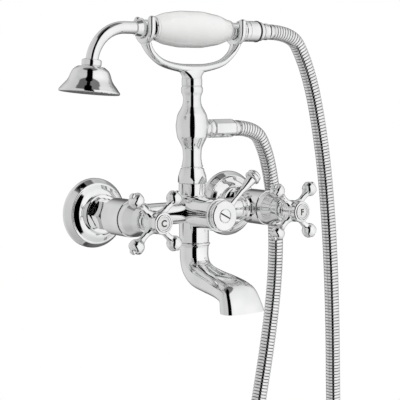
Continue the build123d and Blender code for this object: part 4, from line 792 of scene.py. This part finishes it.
# Handset
handset = {
    "porcelain": [(-40.0, 4.9, 0.1), (-40.0, 9.7, 0.3), (-38.9, 10.4, 0.8), (-30.0, 13.6, 16.0),
                  (-14.0, 15.95, 30.0), (10.0, 15.95, 30.0), (27.5, 13.2, 18.0), (38.6, 9.3, 0.8),
                  (39.6, 8.5, 0.3), (39.6, 4.9, 0.1)],
    "frontFerrule": [(-40.0, 4.8, 0.1), (-40.0, 9.6, 0.2), (-40.5, 10.4, 0.4), (-41.9, 10.3, 0.5),
                     (-42.6, 9.0, 0.6), (-45.9, 7.2, 1.6), (-46.4, 7.15, 0.2), (-53.6, 7.15, 0.2),
                     (-53.75, 8.4, 0.2), (-54.9, 8.5, 0.5), (-55.3, 7.5, 0.4), (-60.4, 6.1, 1.2),
                     (-60.75, 5.6, 0.2), (-60.75, 5.4, 0.1), (-50, 5.4, 0.1), (-50, 4.8, 0.1)],
    "rearFerrule": [(39.6, 4.8, 0.1), (39.6, 8.6, 0.2), (40.1, 9.4, 0.4), (41.0, 9.2, 0.5),
                    (42.4, 7.4, 0.8), (43.4, 7.15, 0.2), (53.75, 7.15, 0.1), (53.75, 4.8, 0.1)],
    "tail": [(53.8, 4.8, 0.1), (53.8, 9.0, 0.2), (54.2, 9.7, 0.4), (55.2, 9.7, 0.4),
             (55.7, 8.8, 0.3), (56.4, 8.8, 0.3), (57.0, 9.4, 0.4), (61.0, 9.4, 0.3),
             (61.0, 6.9, 0.1), (70.0, 6.9, 0.1), (70.0, 3.5, 0.1)],
    "hoseNut": [(61.2, 7.3, 0.1), (61.2, 9.2, 0.2), (61.6, 9.4, 0.3), (71.6, 9.3, 0.3),
                (72.0, 8.8, 0.2), (72.0, 7.2, 0.2), (73.8, 7.2, 0.2), (74.0, 8.6, 0.2),
                (74.4, 8.8, 0.3), (77.6, 8.5, 0.4), (78.2, 7.8, 0.3), (78.2, 5.9, 0.1)],
    "swivelRing": [(72.1, 7.3, 0.1), (72.1, 9.3, 0.3), (72.6, 9.8, 0.4), (73.3, 9.8, 0.4),
                   (73.7, 9.3, 0.3), (73.7, 7.3, 0.1)],
    "sleeve": [(78.3, 5.6, 0.1), (78.3, 7.6, 0.2), (78.8, 7.9, 0.3), (80.4, 7.5, 0.8),
               (82.4, 7.3, 0.8), (83.6, 7.6, 0.4), (84.8, 7.6, 0.3), (85.2, 7.2, 0.2),
               (85.2, 5.6, 0.1)],
    "headCollar": [(-2.4, 5.0, 0.1), (-2.4, 6.8, 0.3), (-1.9, 8.0, 0.5), (-1.0, 8.3, 0.5),
                   (2.4, 8.3, 0.4), (3.0, 7.8, 0.3), (4.4, 7.4, 0.2), (4.4, 4.0, 0.1)],
    "rose": [(4.2, 6.0, 0.1), (3.4, 8.4, 0.5), (3.9, 11.4, 1.8), (6.6, 15.2, 7.0),
             (10.6, 16.9, 14.0), (15.4, 18.6, 14.0), (20.8, 23.2, 14.0), (24.0, 25.6, 1.0),
             (25.2, 25.7, 0.5), (25.8, 25.0, 0.3), (25.8, 23.0, 0.2), (24.4, 22.8, 0.1),
             (20.0, 19.6, 4.0), (11.0, 15.2, 5.0), (6.6, 12.0, 3.0), (5.4, 6.0, 0.2)],
}
handsetFinish = {"porcelain": "porcelain", "swivelRing": "blackRubber"}
for name, node in (("porcelain", "porcelain_handle"), ("frontFerrule", "front_ferrule"),
                   ("rearFerrule", "rear_ferrule"), ("tail", "handset_tail"),
                   ("hoseNut", "handset_hose_nut"), ("swivelRing", "swivel_ring"),
                   ("sleeve", "hose_end_sleeve")):
    turned(name+"Skin", "handset", [(handsetAxis, handset[name], True)], [node],
           handsetFinish.get(name, "polishedChrome"), segments=112)

# the neck runs straight from within the ferrule, bends down and ends within the collar
neck = {"start": -50.2, "straightSteps": 6, "bendSteps": 40, "beyond": 1.5, "radius": 5.3,
        "around": 64}
neckPath = []
for step in range(neck["straightSteps"]):
    along = neck["start"]-(layout["neckBendReach"]+neck["start"])*step/neck["straightSteps"]
    neckPath.append(Vector((along, bodyY, layout["handsetHeight"])))
for step in range(neck["bendSteps"]+1):
    angle = math.radians(90+(90-layout["headTilt"])*step/neck["bendSteps"])
    outward = Vector((math.cos(angle), 0, math.sin(angle)))
    neckPath.append(bendCentre+layout["neckBendRadius"]*outward)
neckPath.append(headPoint+headDown*neck["beyond"])
skin("neckSkin", "handset",
     [(sweptTube(neckPath, [neck["radius"]]*len(neckPath), neck["around"]), True)])
turned("headCollarSkin", "handset", [(headAxis, handset["headCollar"], True)],
       ["handset_neck"])
turned("roseSkin", "handset", [(headAxis, handset["rose"], True)],
       ["shower_rose"], segments=128)
print("handset made")

# Shower hose
hose = {
    # the route's points in metres, from the outlet to the handset
    "route": [(0.0456, -0.048, 0.0735), (0.0712, -0.048, 0.0735), (0.0855, -0.0465, 0.0525),
              (0.095, -0.0435, 0.026), (0.102, -0.041, -0.005), (0.1052, -0.0395, -0.042),
              (0.1028, -0.039, -0.086), (0.0938, -0.040, -0.138), (0.0805, -0.041, -0.198),
              (0.067, -0.042, -0.262), (0.058, -0.043, -0.326), (0.056, -0.044, -0.392),
              (0.076, -0.045, -0.438), (0.118, -0.046, -0.456), (0.160, -0.047, -0.438),
              (0.180, -0.048, -0.392), (0.179, -0.0485, -0.326), (0.175, -0.0485, -0.260),
              (0.172, -0.0485, -0.194), (0.171, -0.0485, -0.134), (0.169, -0.048, -0.076),
              (0.165, -0.048, -0.022), (0.159, -0.048, 0.030), (0.151, -0.048, 0.074),
              (0.142, -0.048, 0.110), (0.1305, -0.048, 0.1385), (0.1155, -0.048, 0.161),
              (0.0852, -0.048, 0.161)],
    "routeSteps": 24,
    # radius over the ribs and between them; length and rise of the plain ends and of their edge
    "radius": 0.0070,
    "root": 0.0061,
    "plain": 0.006,
    "endRise": 0.0001,
    "endEdge": 0.0004,
    "ribs": 424,
    "around": 26,
    # how far each way a ring looks for its direction
    "look": 0.002,
    # along one rib: share of the pitch and share of the way from root to crest
    "rib": [(0.0, 0.0), (0.1, 0.0), (0.15, 0.6), (0.21, 0.95), (0.28, 1.0), (0.84, 1.0),
            (0.91, 0.95), (0.97, 0.6)],
    # the painted shade in the grooves, a dark copy of the hose's steel, reaches this share of the
    # way from root to crest
    "grooveShadeShare": 0.34,
    "length": 1.268,
}
routeCurve = bpy.data.curves.new("hoseRoute", "CURVE")
routeCurve.dimensions = "3D"
routeCurve.resolution_u = hose["routeSteps"]
spline = routeCurve.splines.new("NURBS")
spline.points.add(len(hose["route"])-1)
for point, place in zip(spline.points, hose["route"]):
    point.co = (*place, 1)
spline.order_u = 3
spline.use_endpoint_u = True
line = np.array([vertex.co for vertex in meshOfCurve("hoseRouteLine", routeCurve).vertices])
travelled = np.concatenate([[0], np.cumsum(np.linalg.norm(np.diff(line, axis=0), axis=1))])
hoseLength = travelled[-1]
print("hose line:", len(line), "points,", round(hoseLength, 4), "m")


def onLine(distance):
    return Vector([np.interp(distance, travelled, line[:, axis]) for axis in range(3)])


def hoseRings():
    # the distance and radius of each ring from the outlet to the handset
    plain, crest, root = hose["plain"], hose["radius"], hose["root"]
    pitch = (hoseLength-2*plain)/hose["ribs"]
    raised = crest+hose["endRise"]
    rings = [(0.0, crest), (hose["endEdge"], raised), (plain, raised)]
    for rib in range(hose["ribs"]):
        rings += [(plain+(rib+along)*pitch, root+rise*(crest-root)) for along, rise in hose["rib"]]
    return rings+[(hoseLength-plain, crest), (hoseLength, crest)]


rings = hoseRings()
hoseVertices = []
for distance, radius in rings:
    ahead = onLine(min(distance+hose["look"], hoseLength))-onLine(max(distance-hose["look"], 0))
    hoseVertices += ringAbout(onLine(distance), ahead.normalized(), radius, radius, hose["around"],
                              Vector((0, 1, 0)))
hoseFaces = ringFaces(len(rings), hose["around"], capped=True)
hoseSkin = newPiece("showerHose", hoseVertices, hoseFaces, "hoseChrome", None)
hoseSkin.data.materials.append(materials["hoseGroovePaintedShade"])
# the last two faces are the caps
# faces deeper than this radius get the painted shade of the grooves
grooveShadeRadius = hose["root"]+hose["grooveShadeShare"]*(hose["radius"]-hose["root"])
for polygon in hoseSkin.data.polygons[:-2]:
    row = polygon.index // hose["around"]
    if rings[row][1]+rings[row+1][1] < 2*grooveShadeRadius:
        polygon.material_index = 1
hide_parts("shower_hose")
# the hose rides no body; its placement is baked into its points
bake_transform(hoseSkin)
print("hose made")

# Camera at the photograph's viewing angle
cameraSetup = {"place": (-0.6431, -0.9207, 0.1115), "azimuth": 36.75, "pitch": 5.33, "roll": -0.13,
               "lens": 109.95, "sensor": 36.0}
cameraData = bpy.data.cameras.new("camera")
cameraData.lens = cameraSetup["lens"]
cameraData.sensor_width = cameraSetup["sensor"]
camera = addObject("camera", cameraData)
azimuth, pitch, roll = (math.radians(cameraSetup[key]) for key in ("azimuth", "pitch", "roll"))
forward = Vector((math.sin(azimuth)*math.cos(pitch), math.cos(azimuth)*math.cos(pitch),
                  -math.sin(pitch)))
level = Vector((math.cos(azimuth), -math.sin(azimuth), 0))
above = level.cross(forward)
cameraRight = level*math.cos(roll)+above*math.sin(roll)
cameraUp = above*math.cos(roll)-level*math.sin(roll)
turn = Matrix((cameraRight, cameraUp, -forward)).transposed().to_4x4()
camera.matrix_world = Matrix.Translation(Vector(cameraSetup["place"])) @ turn
bpy.context.scene.camera = camera

# Studio: pale floor, white surround and a dome that only reflections see
studio = {
    "floor": -0.47,
    "floorRadius": 0.9,
    # where the floor starts to fade into the white surround, and where it is gone
    "floorFade": (0.32, 0.86),
    "domeRadius": 2.2,
    # brightness round the dome: degrees from the front towards the hot side, and what shows there
    "round": [(-180, 0.66), (-168, 0.46), (-157, 0.14), (-131, 0.1), (-118, 0.26), (-102, 0.66),
              (-88, 0.88), (-70, 0.94), (-40, 1.03), (-5, 1.05), (14, 1.0), (34, 0.8), (53, 0.68),
              (84, 0.68), (110, 0.66), (140, 0.74), (168, 0.76), (180, 0.66)],
    # brightness up the dome: degrees of height, and the share of the round value that is left
    "up": [(-90, 0.72), (-58, 0.76), (-40, 0.85), (-28, 0.95), (-20, 1.0), (34, 1.0), (48, 0.94),
           (62, 0.88), (75, 0.9), (90, 0.95)],
    # the black gap in front: degrees of height, then the two sides of the gap in degrees round
    "gap": [(-90, 22, 45), (-20, 17, 50), (46, 17, 50), (62, 12, 58), (78, 0, 70), (90, 0, 70)],
    # how soft the gap's sides are: degrees of height, and degrees that the sides take there
    "gapEdge": ((42, 70), (2.5, 9.0)),
    # a half dark canopy over the gap: degrees of height, then its two sides in degrees round
    "canopy": [(52, 33, 34), (57, 8, 58), (63, -36, 102), (69, -90, 150), (74, -180, 180),
               (90, -180, 180)],
    "canopyEdge": 9.0,
    # degrees of height, and the share of the brightness that is left under the canopy
    "canopyShade": ((50, 56), (1, 0.22)),
    # the darkest that the round values get: degrees of height, and the least brightness there
    "roundLeast": ((24, 40), (0.0, 0.62)),
    "surroundDiffuse": 0.66,
}
tables = {key: np.array(studio[key], float) for key in ("round", "up", "gap", "canopy")}


def read(key, at, column=1):
    return np.interp(at, tables[key][:, 0], tables[key][:, column])


def beside(key, side, height):
    # degrees from a dark field to a point beside it, and 0 within the field
    return max(read(key, height)-side, side-read(key, height, 2), 0)


def glowAt(side, height):
    around = max(read("round", side), np.interp(height, *studio["roundLeast"]))
    gapLeft = min(1, beside("gap", side, height)/np.interp(height, *studio["gapEdge"]))
    shade = np.interp(height, *studio["canopyShade"])
    canopyLeft = shade+(1-shade)*min(1, beside("canopy", side, height)/studio["canopyEdge"])
    return around*read("up", height)*gapLeft*canopyLeft


def dome():
    # a sphere that only reflections see; its points carry the brightness
    sides, heights, radius = range(-180, 180, 2), range(-90, 91, 3), studio["domeRadius"]
    vertices, glow = [], []
    for height in heights:
        for side in sides:
            angle, rise = math.radians(side), math.radians(height)
            vertices.append((-math.sin(angle)*math.cos(rise)*radius,
                             -math.cos(angle)*math.cos(rise)*radius, math.sin(rise)*radius))
            glow.append(glowAt(side, height))
    mesh = bpy.data.meshes.new("reflectionDome")
    mesh.from_pydata(vertices, [], ringFaces(len(heights), len(sides)))
    colours = mesh.color_attributes.new("glow", "FLOAT_COLOR", "POINT")
    for point, value in zip(colours.data, glow):
        point.color = (value, value, value, 1)
    material = bpy.data.materials.new("reflectionDomeGlow")
    material.use_nodes = True
    tree = material.node_tree
    tree.nodes.clear()
    attribute = tree.nodes.new("ShaderNodeVertexColor")
    attribute.layer_name = "glow"
    emission = tree.nodes.new("ShaderNodeEmission")
    output = tree.nodes.new("ShaderNodeOutputMaterial")
    tree.links.new(attribute.outputs["Color"], emission.inputs["Color"])
    tree.links.new(emission.outputs["Emission"], output.inputs["Surface"])
    mesh.materials.append(material)
    sphere = addObject("reflectionDome", mesh)
    sphere.visible_camera = False
    sphere.visible_diffuse = False
    sphere.visible_transmission = False
    sphere.visible_shadow = False


def mix(tree, share, first, second, output):
    # shows the first shader where the share is 0 and the second where it is 1
    mixer = tree.nodes.new("ShaderNodeMixShader")
    tree.links.new(share, mixer.inputs["Fac"])
    tree.links.new(first, mixer.inputs[1])
    tree.links.new(second, mixer.inputs[2])
    tree.links.new(mixer.outputs["Shader"], output.inputs["Surface"])


def floorDisc():
    material, tree, shader = newMaterial("paleFloor")
    shader.inputs["Base Color"].default_value = (0.86, 0.86, 0.86, 1)
    shader.inputs["Roughness"].default_value = 0.7
    point = tree.nodes.new("ShaderNodeTexCoord")
    reach = tree.nodes.new("ShaderNodeVectorMath")
    reach.operation = "LENGTH"
    fade = tree.nodes.new("ShaderNodeMapRange")
    fade.interpolation_type = "SMOOTHSTEP"
    for key, reached in zip(("From Min", "From Max"), studio["floorFade"]):
        fade.inputs[key].default_value = reached
    clear = tree.nodes.new("ShaderNodeBsdfTransparent")
    tree.links.new(point.outputs["Object"], reach.inputs[0])
    tree.links.new(reach.outputs["Value"], fade.inputs["Value"])
    mix(tree, fade.outputs["Result"], shader.outputs["BSDF"], clear.outputs["BSDF"],
        tree.nodes["Material Output"])
    radius = studio["floorRadius"]
    rim = [(radius*math.cos(angle), radius*math.sin(angle), studio["floor"])
           for angle in map(math.radians, range(0, 360, 3))]
    mesh = bpy.data.meshes.new("floor")
    mesh.from_pydata(rim, [], [tuple(range(len(rim)))])
    mesh.materials.append(material)
    disc = addObject("floor", mesh)
    disc.visible_glossy = False


def surround():
    # full white for the camera, reflections and what is seen through; softer for diffuse light
    world = bpy.data.worlds.new("surround")
    bpy.context.scene.world = world
    world.use_nodes = True
    tree = world.node_tree
    tree.nodes.clear()
    rays = tree.nodes.new("ShaderNodeLightPath")
    full = rays.outputs["Is Camera Ray"]
    for kind in ("Is Glossy Ray", "Is Transmission Ray"):
        either = tree.nodes.new("ShaderNodeMath")
        either.operation = "MAXIMUM"
        tree.links.new(full, either.inputs[0])
        tree.links.new(rays.outputs[kind], either.inputs[1])
        full = either.outputs["Value"]
    whites = []
    for strength in (studio["surroundDiffuse"], 1.0):
        white = tree.nodes.new("ShaderNodeBackground")
        white.inputs["Color"].default_value = (1, 1, 1, 1)
        white.inputs["Strength"].default_value = strength
        whites.append(white.outputs["Background"])
    mix(tree, full, *whites, tree.nodes.new("ShaderNodeOutputWorld"))


dome()
floorDisc()
surround()

lamps = {
    # place, size and power of each soft lamp; both aim at the middle of the body
    "keyLamp": ((-1.2, -1.6, 1.6), 1.2, 17.0),
    "fillLamp": ((1.5, -1.3, 0.9), 1.4, 10.0),
}
lampAim = Vector((0, bodyY*mm, 0.05))
for name, (place, size, power) in lamps.items():
    lampData = bpy.data.lights.new(name, "AREA")
    lampData.shape = "DISK"
    lampData.size = size
    lampData.energy = power
    lamp = addObject(name, lampData)
    lamp.location = place
    lamp.rotation_mode = "QUATERNION"
    lamp.rotation_quaternion = (lampAim-Vector(place)).to_track_quat("-Z", "Y")
    lamp.visible_glossy = False

bpy.context.scene.view_settings.view_transform = "Standard"
print("stage, camera and lights made")
